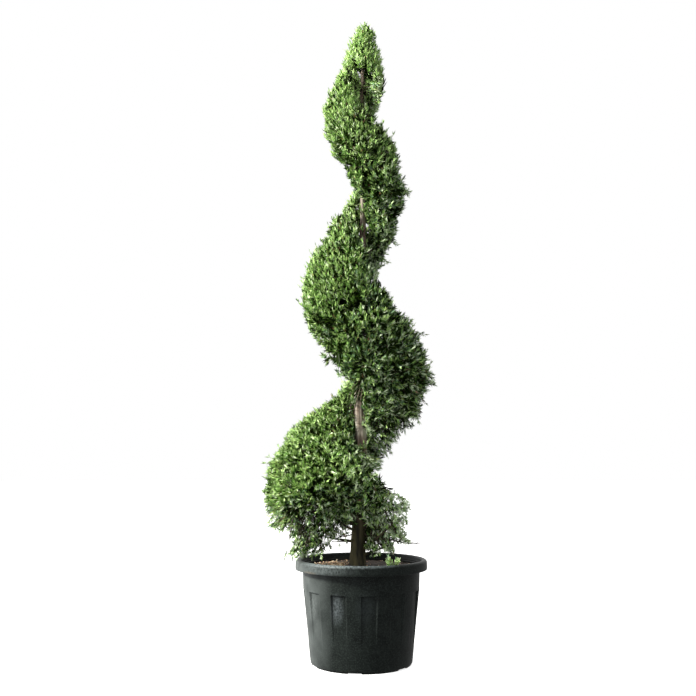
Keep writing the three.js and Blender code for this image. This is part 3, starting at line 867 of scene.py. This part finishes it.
def raggedness(points, normals):
    """How loose the outline is here, 0 to 1: the lowest skirts and the shaded underside on the right."""
    x, y, z = points.T
    skirt = 1 - ease(0.43, 0.53, z)
    under = ease(-0.1, 0.5, -normals[:, 2])
    notch = ease(0.03, 0.09, x) * ease(0.60, 0.64, z) * (1 - ease(0.78, 0.86, z))
    right_end = ease(0.04, 0.10, x) * (1 - ease(0.56, 0.68, z))
    facing = ease(0.3, 0.8, normals[:, 0])
    shaded_rim = 0.40 * facing * ease(0.68, 0.80, z) * (1 - ease(1.70, 1.85, z))
    loosest = np.maximum.reduce([skirt * (0.35 + 0.65 * under), notch * under, right_end, shaded_rim])
    return np.clip(loosest, 0, 1)


CREASES = [                            # hollows in front, set back and painted darker as shade: x, z, half length and height, slope, strength
    (0.000, 1.207, 0.055, 0.016, 0.35, 1.0),
    (0.075, 1.187, 0.055, 0.017, -0.15, 0.8),
    (-0.100, 1.135, 0.065, 0.018, 0.10, 0.5),
    (0.105, 1.063, 0.050, 0.020, 0.10, 0.7),
    (0.010, 0.560, 0.055, 0.028, -0.20, 0.55),
    (0.048, 2.120, 0.035, 0.022, 0.00, 0.30), (0.080, 0.615, 0.035, 0.028, 0.00, 0.50),
]
# Ridges in front, grown out a little and painted lighter as light: x, z, half length and height, slope,
# strength
CRESTS = [(0.065, 1.150, 0.075, 0.013, -0.20, 1.0), (0.050, 2.025, 0.050, 0.050, 0.00, 0.9)]
OVERGROWN = [                          # where growth went on or was cut hard: x, z, spread of each, how far
    (-0.132, 1.056, 0.045, 0.045, -0.044), (-0.178, 1.125, 0.030, 0.040, -0.017),
    (-0.058, 0.948, 0.030, 0.030, 0.018), (-0.240, 0.775, 0.035, 0.040, 0.015),
    (-0.315, 0.665, 0.030, 0.040, 0.010), (-0.300, 0.490, 0.050, 0.040, 0.032),
    (-0.105, 0.890, 0.040, 0.030, -0.014), (0.145, 0.540, 0.030, 0.030, 0.018),
    (0.096, 0.622, 0.035, 0.030, -0.032), (0.150, 0.462, 0.030, 0.035, -0.016),
    (0.225, 1.030, 0.030, 0.070, 0.010), (0.165, 0.790, 0.035, 0.055, -0.028),
    (0.100, 0.690, 0.025, 0.030, 0.012), (0.142, 1.540, 0.030, 0.050, -0.026),
    (0.125, 1.440, 0.030, 0.060, -0.016), (0.080, 1.292, 0.030, 0.035, -0.034),
    (0.130, 1.220, 0.035, 0.045, -0.024), (-0.076, 1.748, 0.035, 0.055, -0.050),
    (-0.032, 1.643, 0.022, 0.035, 0.014), (0.080, 2.150, 0.025, 0.035, 0.014),
    (0.078, 2.000, 0.025, 0.050, -0.008), (0.120, 1.800, 0.025, 0.050, 0.008),
    (-0.130, 1.475, 0.030, 0.040, -0.016), (0.155, 1.720, 0.030, 0.040, -0.010),
    (-0.205, 1.340, 0.020, 0.030, -0.006), (0.055, 1.930, 0.020, 0.040, -0.006),
]


def overgrown(points):
    """How far the growth stands out of the clipped line at these points."""
    x, _, z = points.T
    out = np.zeros(len(points))
    for middle_x, middle_z, spread_x, spread_z, amount in OVERGROWN:
        out += amount * np.exp(-(((x - middle_x) / spread_x) ** 2) - ((z - middle_z) / spread_z) ** 2)
    return out


def crease(points, places):
    """How deep a point lies in one of the hollows, or how far up on one of the crests, 0 to 1."""
    x, y, z = points.T
    deepest = np.zeros(len(points))
    for middle_x, middle_z, half_length, half_height, slope, strength in places:
        along, across = x - middle_x, z - middle_z - slope * (x - middle_x)
        here = strength * np.exp(-((along / half_length) ** 4) - (across / half_height) ** 2)
        deepest = np.maximum(deepest, here)
    return deepest * (1 - ease(-0.02, 0.02, y))


def hides_stem(points):
    """Whether these points stand before one of the places where the shears bared the stem."""
    sight = Vector(CAMERA_PLACE)
    away = (0.0 - sight.y) / (points[..., 1] - sight.y)
    x, z = sight.x + (points[..., 0] - sight.x) * away, sight.z + (points[..., 2] - sight.z) * away
    middle, radius = trunk_at(z)
    hidden = np.zeros(z.shape, bool)
    for low, high, left, right in STEM_OPENINGS:
        beside = (x > middle[..., 0] - radius - left) & (x < middle[..., 0] + radius + right)
        hidden |= (z > low) & (z < high) & beside
    return hidden & (points[..., 1] < middle[..., 1])


def in_room(points):
    """Whether these points are inside the space that the plant takes up."""
    low, high = np.array(cad_box)
    return ((points > low - GROWTH_ROOM) & (points < high + GROWTH_ROOM)).all(-1)


PAINTED_LIGHT_PLACES = [     # left, right, lower and upper edge, each where it starts and ends, and how much lighter: above nought painted light, below nought painted shade
    ((0.02, 0.06), None, (1.90, 1.96), (2.05, 2.12), 0.45),
    (None, (-0.02, 0.01), (2.02, 2.06), (2.13, 2.17), 0.40),
    (None, None, (2.12, 2.20), None, -0.42),
    (None, None, (1.85, 2.05), None, 0.12),
    ((-0.09, -0.06), None, (1.80, 1.84), (1.90, 1.94), -0.12),
    ((0.03, 0.06), None, (1.24, 1.30), (1.52, 1.58), 0.62),
    ((-0.06, -0.02), (0.08, 0.12), (0.98, 1.04), (1.30, 1.40), 0.20),
    ((0.08, 0.14), None, (0.80, 0.90), (1.15, 1.24), -0.25),
    (None, (-0.10, 0.00), None, (0.90, 1.20), -0.12),
    ((-0.12, 0.00), None, None, (0.65, 0.85), 0.36),
    ((0.04, 0.12), None, None, (0.55, 0.62), 0.58),
]


def within(left, right, low, high, x, z):
    """1 inside these edges and 0 outside them. An edge is where it starts and ends, or None."""
    share = np.ones(len(x))
    for edge, values, outside in ((left, x, 0), (low, z, 0), (right, x, 1), (high, z, 1)):
        if edge:
            share = share * abs(outside - ease(*edge, values))
    return share


def spray_tones(face, lit, below, inner):
    """The tone of each spray, by how lit its shoot is, how deep it lies, where it grows, and chance: painted
    light and shade, palest in the light and at the clipped surface, darkest deep inside.
    """
    x, _, z = face[:, 0].T
    tip = ease(1.85, 2.05, z)
    shaded = (lit < SHADE)[:, None]
    varied = 1 - 0.45 * tip + 0.22 * (lit < SHADE)
    score = (SCORE_OF_LIGHT * lit[:, None] - SCORE_OF_DEPTH * (1 - 0.4 * tip)[:, None] * below + SCORE_START
             + grow.normal(0, 1.00, below.shape) * varied[:, None]
             + SCORE_OF_PATCH * rough(*face[:, 0].T, size=0.03, seed=1)[:, None])
    # Sprays that face right are painted lighter, as light on the shaded side.
    lighter = 0.10 * ease(-0.1, 0.3, face[:, 1, 0])
    for *edges, amount in PAINTED_LIGHT_PLACES:
        lighter = lighter + amount * within(*edges, x, z)
    score = score + lighter[:, None]
    levels = [score > np.where(shaded, SHADE_PALE_STEP, TONE_STEPS[0])]
    levels += [score > step for step in TONE_STEPS[1:]]
    tone = np.select(levels, [PALE_HIGHLIGHT, LIT_NEW, BRIGHT, LEAF, DEEP_SHADE], INNER_SHADE)
    # Inner sprays are all painted near black, as shade.
    tone = np.where(inner, INNER_SHADE, tone)
    bluish = (grow.random(tone.shape) < BLUISH_SHARE) & (lit[:, None] < 0.15)
    tone = np.where(bluish & (tone != INNER_SHADE) & (tone != PALE_HIGHLIGHT), BLUE, tone)
    # The palest sprays in the shade get a painted glint of the sky.
    tone = np.where((tone == PALE_HIGHLIGHT) & shaded, SHADE_GLINT, tone)
    patch = ease(0.1, 0.7, rough(*face[:, 0].T, size=0.05, seed=6)) * (z < 1.2)
    olive = grow.random(tone.shape) < (OLIVE_SHARE + OLIVE_MORE * patch)[:, None]
    tone = np.where(olive & ((tone == LEAF) | (tone == BRIGHT)), OLIVE, tone)
    return np.where((grow.random(tone.shape) < DRY_SHARE) & ~inner, DRY, tone)


def dress(starts, knees, ends, face, lit, ragged, rise):
    """Sprays for these shoots: fine ones all round the plume, and coarse dark ones below it.

    Gives the place, heading, length and tone of each, and whether it grows, in a row for each shoot."""
    count, per_shoot = len(ends), OUTER_SPRAYS + INNER_SPRAYS
    # place, along the shoot back from its end
    span = np.linalg.norm(ends - starts, axis=1)
    back = np.concatenate([np.linspace(0, 1, OUTER_SPRAYS) * PLUME_LENGTH,
                           PLUME_LENGTH + INNER_STEP * np.arange(1, INNER_SPRAYS + 1)])
    back = back[None, :] + np.where(back > 0, 1, 0) * grow.uniform(-0.003, 0.003, (count, per_shoot))
    inner = (np.arange(per_shoot) >= OUTER_SPRAYS)[None, :] & np.ones((count, 1), bool)
    share = np.clip(1 - back / span[:, None], 0.04, 1)[..., None]
    place = (1 - share) ** 2 * starts[:, None] + 2 * share * (1 - share) * knees[:, None]
    place = place + share ** 2 * ends[:, None]
    # heading, along the shoot and leaning off it, each spray to another side
    line_heading = unit(2 * (1 - share) * (knees - starts)[:, None] + 2 * share * (ends - knees)[:, None])
    spin = grow.uniform(0, 2 * math.pi, (count, 1)) + np.arange(per_shoot)[None, :] * FAN_TURN
    spin = (spin + grow.normal(0, 0.35, spin.shape))[..., None]
    side = unit(np.cross(line_heading, UP + 0.01))
    other = np.cross(line_heading, side)
    lean = np.where(back[..., None] < 0.003, END_LEAN, SPRAY_LEAN) + grow.normal(0, LEAN_SPREAD, share.shape)
    lean = np.radians(lean)
    heading = line_heading * np.cos(lean) + (side * np.cos(spin) + other * np.sin(spin)) * np.sin(lean)
    heading = unit(heading + rise[:, None, None] * UP)
    # length, cut where a spray would come out of the clipped surface
    length = SPRAY_LENGTH * grow.uniform(0.7, 1.2, share.shape[:2]) * np.where(inner, COARSE, 1.0)
    tip_right = within((0.02, 0.06), None, (1.90, 1.96), (2.05, 2.12), face[:, 0, 0], face[:, 0, 2])
    shorter = np.maximum(ease(2.08, 2.18, place[..., 2]), tip_right[:, None])
    length = np.where(inner, length * (1 - 0.5 * shorter), length)
    room = ((face[:, 0, None] - place) * face[:, 1, None]).sum(-1)
    climb = (heading * face[:, 1, None]).sum(-1)
    reach = (room + 0.004).clip(0.008) / climb.clip(0.25)
    length = np.where(back > 0.003, np.minimum(length, reach), length)
    tone = spray_tones(face, lit, room - length * climb, inner)
    # which of them grow: fewer on ragged shoots, and inner ones only inside
    keep = grow.random(share.shape[:2]) < (1 - 0.42 * ragged)[:, None]
    keep &= ~(inner & (ragged > 0.5)[:, None])
    keep &= ~(inner & (length * climb > room))
    keep &= in_room(place + length[..., None] * heading)
    return place, heading, length, tone, keep


def set_sprays(name, place, heading, length, tone, keep):
    """Makes the joined leaves of these sprays."""
    turns = turns_from(heading[keep], grow.uniform(-math.pi, math.pi, keep.sum()))
    leaves = scattered(name, spray_tree, sprays, place[keep], turns, length[keep], tone[keep])
    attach(leaves, "root")
    return leaves


UP = np.array((0, 0, 1.0))
bough_lines, shoot_lines = [], []      # (points, radii) of every bough and shoot


def grow_boughs(mass, triangles, normals, areas):
    """Boughs from the stem towards widely spaced places on the surface of a mass: their lines and tips."""
    low, high = (np.array(corner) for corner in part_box(mass))
    tips, tip_normals = scattered_points(triangles, normals, areas, BOUGH_SPACING, grow)
    above = tip_normals[:, 2] > -0.35
    if above.sum() > 2:
        tips, tip_normals = tips[above], tip_normals[above]
    stem, _ = trunk_at(tips[:, 2])
    reach = np.hypot(*(tips - stem)[:, :2].T)
    root_z = np.clip(tips[:, 2] - BOUGH_CLIMB * reach, max(low[2] + 0.02, LOWEST_BOUGH), high[2] - 0.02)
    root_z = np.minimum(root_z, trunk_tip - 0.01)
    roots, _ = trunk_at(root_z)
    ends = roots + BOUGH_SHARE * (tips - roots)
    sag = np.where(tip_normals[:, 2] > -0.1, BOUGH_SAG, -BOUGH_LIFT) * reach
    knees = roots + 0.5 * (ends - roots) - UP * sag[:, None]
    boughs = curve_points(roots, knees, ends, BOUGH_POINTS)
    radii = BOUGH_RADIUS[0] + BOUGH_RADIUS[1] * np.linalg.norm(tips - roots, axis=1)
    for line, radius in zip(boughs, radii):
        bough_lines.append((line, radius * np.linspace(1, 0.35, BOUGH_POINTS)))
    return boughs, tips


def light_on(tops, top_normals):
    """How lit the shoots at these places are: most at the top, on the left and in front."""
    x, y, z = top_normals.T
    high_up = ease(1.5, 2.05, tops[:, 2])
    lit = 0.28 * z - (0.30 - 0.22 * high_up) * x - 0.12 * y
    lit = lit + 0.36 * high_up + 0.15 * ease(1.95, 2.12, tops[:, 2])
    # Darker in the hollows, as painted shade, and lighter on the crests, as painted light.
    return lit - 1.5 * crease(tops, CREASES) + 0.5 * crease(tops, CRESTS)


def shoot_headings(tops, top_normals, ragged, upright):
    """Where each shoot points: outwards and up, wilder on the lower turns."""
    stem, _ = trunk_at(tops[:, 2])
    outward = unit((tops - stem) * (1, 1, 0))
    wild = 0.16 * (1 - ease(0.80, 1.05, tops[:, 2]))
    rising = (0.35 - 1.2 * wild + 0.80 * upright - 0.75 * ragged * (top_normals[:, 2] < 0))[:, None]
    unruly = (0.28 + wild - 0.10 * upright)[:, None] * grow.normal(0, 1, tops.shape)
    return unit(0.70 * top_normals + rising * UP + 0.25 * outward + unruly)


def stray_growth(tops, top_normals, ragged):
    """How far each shoot stands out by chance, or falls short on the ragged skirts."""
    stray_share = 0.10 + 0.12 * ease(-0.2, 0.5, top_normals[:, 0])
    stray = np.where(grow.random(len(tops)) < stray_share, grow.uniform(0.006, 0.024, len(tops)), 0)
    stray = stray * (1 - 0.6 * ease(1.9, 2.1, tops[:, 2]))
    in_notch = within((0.05, 0.07), None, (0.56, 0.59), (0.68, 0.72), tops[:, 0], tops[:, 2])
    stray = stray * (1 - 0.9 * in_notch)
    return stray + ragged * grow.uniform(-0.024, 0.022, len(tops))


def shoot_ends(tops, top_normals, ragged, heading, tips):
    """Where each shoot ends: a spray's length inside the clipped line, or further out or in."""
    steep = np.clip((heading * top_normals).sum(1), 0.2, 1)
    gaps = np.linalg.norm(tops[:, None] - tips[None], axis=2)
    crevice = 0.005 * np.clip(gaps.min(1) / 0.055, 0, 1) ** 2
    creased, crest, cut_back = crease(tops, CREASES), crease(tops, CRESTS), overgrown(tops)
    stray = stray_growth(tops, top_normals, ragged)
    regrowth = 0.009 * np.clip(top_normals[:, 2] - 0.9 * top_normals[:, 0], 0, 1)
    regrowth += 0.008 * crest - 0.030 * creased
    regrowth += cut_back
    regrowth += TIP_FILL * ease(2.05, 2.15, tops[:, 2]) * (1 - 0.5 * ease(-0.3, 0.3, top_normals[:, 0]))
    depth = 0.0015 + 0.9 * SPRAY_LENGTH * steep + crevice + grow.uniform(0, 0.006, len(tops))
    depth = (depth - stray - regrowth).clip(-FURTHEST_OUT)
    deepest = SPRAY_LENGTH * 1.6 + 0.025 * creased - cut_back.clip(None, 0)
    ends = tops - heading * np.clip(depth / steep, -FURTHEST_SHOOT, deepest)[:, None]
    room = 0.7 * GROWTH_ROOM
    return np.clip(ends, np.array(cad_box[0]) - room, np.array(cad_box[1]) + room)


def nearest_joints(ends, boughs, top_normals):
    """The place on a bough that each shoot grows from: the nearest that lies further in than its end."""
    joints = boughs[:, 3:].reshape(-1, 3)                    # where a bough carries shoots
    distance = np.linalg.norm(ends[:, None] - joints[None], axis=2)
    inward = np.einsum("ijk,ik->ij", ends[:, None] - joints[None], top_normals)
    return joints[(distance + 0.12 * (inward < 0.25 * distance)).argmin(1)]


for mass in sorted(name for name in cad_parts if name.startswith("foliage_")):
    triangles, normals, areas = outer_faces(mass)
    boughs, tips = grow_boughs(mass, triangles, normals, areas)
    tops, top_normals = scattered_points(triangles, normals, areas, SHOOT_SPACING, grow)
    ragged = raggedness(tops, top_normals)
    gappy = 0.5 + 0.5 * rough(*tops.T, size=0.016, seed=4) + grow.normal(0, 0.16, len(tops))
    kept = gappy > np.where(ragged > 0.45, 0.46 * ragged, 0.20 * ragged)
    tops, top_normals, ragged = tops[kept], top_normals[kept], ragged[kept]
    lit = light_on(tops, top_normals)
    upright = np.clip(0.35 + 1.2 * lit, 0, 1) * ease(0.75, 1.15, tops[:, 2])
    heading = shoot_headings(tops, top_normals, ragged, upright)
    ends = shoot_ends(tops, top_normals, ragged, heading, tips)
    starts = nearest_joints(ends, boughs, top_normals)
    span = np.linalg.norm(ends - starts, axis=1)
    knees = ends - heading * (0.5 * span)[:, None]
    for line, length in zip(curve_points(starts, knees, ends, SHOOT_POINTS), span):
        radius = SHOOT_RADIUS[0] + SHOOT_RADIUS[1] * length
        shoot_lines.append((line, radius * np.linspace(1, 0.3, SHOOT_POINTS)))
    face = np.stack([tops, top_normals], 1)
    place, heading, length, tone, keep = dress(starts, knees, ends, face, lit, ragged, 0.20 + 0.35 * upright)
    keep &= (place[..., 2] + 0.7 * length * heading[..., 2]) > POT_HEIGHT + 0.004
    for share_out in (0.3, 1.0):
        keep &= ~hides_stem(place + share_out * length[..., None] * heading)
    leaves = set_sprays("leaves_" + mass.removeprefix("foliage_"), place, heading, length, tone, keep)
    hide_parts(mass)

# ---- Low growth and stem sprigs ------------------------------------------------------------------
# Loose shoots that the shears missed: they hang from the lowest boughs towards the rim and the
# gravel, and short sprigs stand on the stem where the openings bare it. Their leaves are the band's,
# and so are those of a self-sown seedling that stands in the potting mix near the rim.

HANGING = [                            # middle and spread of each cluster, its shoots, how lit it is
    ((-0.200, -0.020, 0.405), (0.026, 0.070, 0.026), 24, -0.10),
    ((-0.228, -0.040, 0.368), (0.018, 0.030, 0.008), 8, -0.10),
    ((-0.185, -0.050, 0.372), (0.038, 0.060, 0.016), 26, -0.15),
    ((-0.125, -0.030, 0.418), (0.040, 0.070, 0.022), 7, -0.10),
    ((-0.070, -0.020, 0.425), (0.025, 0.050, 0.020), 14, -0.20),
    ((0.020, 0.035, 2.102), (0.020, 0.015, 0.020), 26, -0.30),
    ((-0.026, 0.032, 2.094), (0.020, 0.015, 0.016), 20, -0.30),
    ((0.050, -0.040, 0.430), (0.025, 0.050, 0.035), 16, -0.20),
    ((0.055, -0.040, 0.384), (0.036, 0.050, 0.018), 24, -0.30),
    ((0.158, -0.050, 0.401), (0.022, 0.010, 0.004), 4, 0.00),
    ((0.172, -0.020, 1.625), (0.010, 0.030, 0.012), 3, 0.20),
    ((0.212, -0.020, 1.090), (0.008, 0.020, 0.020), 3, -0.10),
    ((0.248, -0.020, 0.950), (0.010, 0.030, 0.030), 8, -0.10),
    ((0.020, -0.075, 0.668), (0.030, 0.020, 0.020), 26, 0.00),
    ((0.108, -0.030, 0.430), (0.028, 0.060, 0.028), 24, 0.00),
    ((0.046, -0.030, 0.662), (0.020, 0.040, 0.024), 14, -0.35),
    ((-0.130, 0.030, 0.372), (0.018, 0.020, 0.006), 7, 0.25),
    ((-0.275, -0.020, 0.458), (0.035, 0.060, 0.018), 26, 0.05),
    ((-0.318, -0.020, 0.525), (0.010, 0.050, 0.030), 16, 0.10),
    ((0.150, -0.020, 0.530), (0.012, 0.040, 0.020), 12, 0.00),
    ((0.095, -0.050, 0.378), (0.020, 0.040, 0.010), 14, -0.20),
    ((0.030, 0.045, 1.470), (0.020, 0.015, 0.025), 24, -0.30),
    ((0.020, 0.040, 2.070), (0.020, 0.010, 0.022), 16, -0.30),
    ((0.058, -0.045, 2.032), (0.016, 0.020, 0.024), 12, -0.50),
    ((0.056, -0.050, 1.972), (0.020, 0.020, 0.026), 18, -0.40),
    ((-0.215, -0.060, 0.361), (0.032, 0.030, 0.006), 10, -0.10),
    ((-0.006, 0.035, 2.060), (0.020, 0.010, 0.022), 16, -0.30),
]
STEM_SPRIGS = [                        # height on the stem, turn in degrees, length
    (1.545, 255, 0.045), (1.552, 280, 0.040), (1.640, 250, 0.040), (1.655, 290, 0.040), (1.470, 300, 0.045),
    (1.475, 265, 0.045), (1.480, 235, 0.045), (1.60, 320, 0.035), (1.53, 325, 0.035),
    (0.800, 310, 0.050), (0.825, 302, 0.045), (0.850, 308, 0.045), (0.872, 295, 0.045), (0.860, 232, 0.040),
    (0.690, 250, 0.050), (0.700, 282, 0.050), (0.712, 300, 0.045), (0.698, 268, 0.040), (0.745, 318, 0.040),
    (0.780, 225, 0.040), (0.735, 222, 0.040), (2.015, 260, 0.035), (2.010, 290, 0.035), (2.105, 280, 0.030),
    (2.02, 90, 0.050), (2.05, 60, 0.050), (2.05, 120, 0.050), (2.08, 90, 0.050), (2.10, 45, 0.050),
    (2.10, 135, 0.050), (2.03, 30, 0.050), (2.03, 150, 0.050), (2.06, 10, 0.050), (2.06, 170, 0.050),
    (2.04, 195, 0.048), (2.05, 210, 0.045), (2.06, 200, 0.044), (2.03, 182, 0.048), (2.06, 218, 0.040),
    (2.07, 205, 0.040), (2.03, 208, 0.045), (2.02, 192, 0.050),
]
BARE_TWIGS = [                         # dead twigs under the lowest masses: start and end
    ((0.080, -0.02, 0.415), (0.198, -0.06, 0.398)), ((0.010, -0.01, 0.450), (0.085, -0.05, 0.372)),
    ((0.012, -0.02, 0.430), (0.060, -0.06, 0.365)), ((0.020, 0.01, 0.470), (0.120, 0.02, 0.400)),
    ((-0.030, -0.01, 0.400), (-0.100, -0.03, 0.402)), ((-0.032, -0.01, 0.425), (-0.075, -0.05, 0.418)),
    ((0.060, 0.0, 0.440), (0.105, -0.07, 0.380)), ((-0.120, 0.0, 0.440), (-0.190, -0.04, 0.372)),
    ((-0.160, -0.02, 0.430), (-0.220, -0.03, 0.385)),
]
LEADERS = [(-0.006, 0.0, 2.272), (0.024, -0.004, 2.278), (0.043, 0.0, 2.262), (0.006, 0.012, 2.250)]
SEEDLING_FOOT, SEEDLING_SHOOTS = (0.100, -0.165, MIX_TOP), 11
TWIG_FORKS = (0.35, 0.55, 0.75, 0.90)  # where a dead twig forks, as shares of its length
loose_joints = np.concatenate([line[5:] for line, _ in bough_lines])
starts, ends, lits, headings = [], [], [], []
for middle, spread, shoots, brightness in HANGING:
    for _ in range(shoots):
        end = np.array(middle) + np.clip(grow.normal(0, 0.7, 3), -1.3, 1.3) * spread
        lower = np.clip(end[2] + 0.02 - loose_joints[:, 2], 0, None)
        start = loose_joints[(np.linalg.norm(loose_joints - end, axis=1) + 0.6 * lower).argmin()]
        starts.append(start)
        ends.append(end)
        lits.append(brightness)
        headings.append(unit((end - start) * (1, 1, 0.2) + grow.normal(0, 0.02, 3) - 0.02 * UP))
hanging = len(ends)
for _ in range(SEEDLING_SHOOTS):
    starts.append(np.array(SEEDLING_FOOT))
    reach = (grow.uniform(-0.018, 0.022), grow.uniform(-0.022, 0.0), grow.uniform(0.022, 0.042))
    ends.append(starts[-1] + reach)
    lits.append(0.12)
    headings.append(unit(ends[-1] - starts[-1] + (0, 0, 0.01)))
for height, turn, size in STEM_SPRIGS:
    middle, radius = trunk_at(height)
    out = np.array((math.cos(math.radians(turn)), math.sin(math.radians(turn)), 0))
    starts.append(middle + 0.7 * radius * out)
    ends.append(middle + (radius + 0.62 * size) * out + 0.55 * size * UP)
    lits.append(0.05 + 0.35 * (height > 2.0 and turn > 175))
    headings.append(unit(out + 1.1 * UP))
for end in LEADERS:
    middle, _ = trunk_at(end[2] - 0.09)
    starts.append(middle)
    ends.append(np.array(end))
    lits.append(0.2)
    headings.append(unit((ends[-1] - middle) * (0.6, 0.6, 1)))
starts, ends, lits, headings = (np.array(v) for v in (starts, ends, lits, headings))
span = np.linalg.norm(ends - starts, axis=1)
knees = ends - headings * (0.45 * span)[:, None]
for line, length in zip(curve_points(starts, knees, ends, 6), span):
    shoot_lines.append((line, (0.0007 + 0.006 * length) * np.linspace(1, 0.3, 6)))
for start, end in BARE_TWIGS:
    start, end = np.array(start), np.array(end)
    run = end - start
    middle = (start + end) / 2 + grow.normal(0, 0.06, 3) * np.linalg.norm(run)
    twig = curve_points(start[None], middle[None], end[None], 7)[0]
    shoot_lines.append((twig, np.linspace(0.0030, 0.0012, 7)))
    for share in TWIG_FORKS:
        fork = start + share * run
        aside = unit(0.8 * unit(run) + grow.normal(0, 0.5, 3))
        tip = fork + 0.35 * (1.2 - share) * np.linalg.norm(run) * aside
        side_twig = curve_points(fork[None], (fork + tip)[None] / 2, tip[None], 4)[0]
        shoot_lines.append((side_twig, np.linspace(0.0014, 0.0007, 4)))
face = np.stack([ends + 0.010 * headings, headings], 1)
loose = np.where(np.arange(len(ends)) < hanging, 0.6, 0.0)
rise = np.where(loose > 0, 0.0, 0.3)
place, heading, length, tone, keep = dress(starts, knees, ends, face, lits, loose, rise)
keep[:, OUTER_SPRAYS:] = False
middle, radius = trunk_at(place[..., 2])
off_stem = np.hypot(*(place - middle)[..., :2].transpose(2, 0, 1)) > radius + 0.004
set_sprays("leaves_loose", place, heading, length * 0.9, tone, keep & off_stem)

# ---- Inner boughs and shoots ---------------------------------------------------------------------
# The wood inside the foliage: boughs that leave the stem, short shoots on them, and dead twigs below.
# Their bark is thin and grey-brown, and they are round and taper to their tips.

twig_bark, twig_shader = new_material("twig_bark", 0.85)
twig_shader.inputs["Specular IOR Level"].default_value = 0.2
twig_tint = ramp(twig_bark, noise(twig_bark, 90, 4),
                 [(0.35, (0.030, 0.022, 0.015)), (0.55, (0.085, 0.065, 0.046)), (0.75, (0.17, 0.14, 0.105))])
twig_bark.node_tree.links.new(twig_tint, twig_shader.inputs["Base Color"])


def wood_tree():
    """Lays a round stem along each line, as thick as its points say."""
    tree = bpy.data.node_groups.new("grow_wood", "GeometryNodeTree")
    face = tree.interface
    face.new_socket("Geometry", in_out="INPUT", socket_type="NodeSocketGeometry")
    sides = face.new_socket("Sides", in_out="INPUT", socket_type="NodeSocketInt")
    sides.default_value = 5
    face.new_socket("Geometry", in_out="OUTPUT", socket_type="NodeSocketGeometry")
    nodes, links = tree.nodes, tree.links
    entry, leave = nodes.new("NodeGroupInput"), nodes.new("NodeGroupOutput")
    line = nodes.new("GeometryNodeMeshToCurve")
    thick = nodes.new("GeometryNodeInputNamedAttribute")
    thick.data_type = "FLOAT"
    thick.inputs["Name"].default_value = "thickness"
    widen = nodes.new("GeometryNodeSetCurveRadius")
    ring = nodes.new("GeometryNodeCurvePrimitiveCircle")
    ring.inputs["Radius"].default_value = 1.0
    skin = nodes.new("GeometryNodeCurveToMesh")
    skin.inputs["Fill Caps"].default_value = True
    whole = nodes.new("GeometryNodeRealizeInstances")
    finish = nodes.new("GeometryNodeSetMaterial")
    finish.inputs["Material"].default_value = twig_bark
    links.new(entry.outputs["Geometry"], line.inputs["Mesh"])
    links.new(line.outputs["Curve"], widen.inputs["Curve"])
    links.new(thick.outputs["Attribute"], widen.inputs["Radius"])
    links.new(widen.outputs["Curve"], skin.inputs["Curve"])
    links.new(thick.outputs["Attribute"], skin.inputs["Scale"])
    links.new(entry.outputs["Sides"], ring.inputs["Resolution"])
    links.new(ring.outputs["Curve"], skin.inputs["Profile Curve"])
    links.new(skin.outputs["Mesh"], whole.inputs["Geometry"])
    links.new(whole.outputs["Geometry"], finish.inputs["Geometry"])
    links.new(finish.outputs["Geometry"], leave.inputs["Geometry"])
    return tree


grow_wood = wood_tree()


def grown_wood(name, lines, sides):
    """The plain mesh of round stems along these lines."""
    points = np.concatenate([line for line, _ in lines])
    edges, first = [], 0
    for line, _ in lines:
        edges += [(first + i, first + i + 1) for i in range(len(line) - 1)]
        first += len(line)
    mesh = bpy.data.meshes.new(name)
    mesh.from_pydata([tuple(p) for p in points], edges, [])
    radii = np.concatenate([radius for _, radius in lines])
    mesh.attributes.new("thickness", "FLOAT", "POINT").data.foreach_set("value", radii)
    carrier = bpy.data.objects.new(name + "_lines", mesh)
    bpy.context.scene.collection.objects.link(carrier)
    growth = carrier.modifiers.new("growth", "NODES")
    growth.node_group = grow_wood
    entries = {s.name: s.identifier for s in grow_wood.interface.items_tree if s.in_out == "INPUT"}
    growth[entries["Sides"]] = sides
    grown = bpy.data.meshes.new_from_object(carrier.evaluated_get(bpy.context.evaluated_depsgraph_get()))
    bpy.data.objects.remove(carrier)
    grown.polygons.foreach_set("use_smooth", [True] * len(grown.polygons))
    piece = bpy.data.objects.new(name, grown)
    bpy.context.scene.collection.objects.link(piece)
    return piece


for name, lines, sides in (("boughs", bough_lines, 8), ("shoots", shoot_lines, 3)):
    wood = grown_wood(name, lines, sides)
    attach(wood, "root")
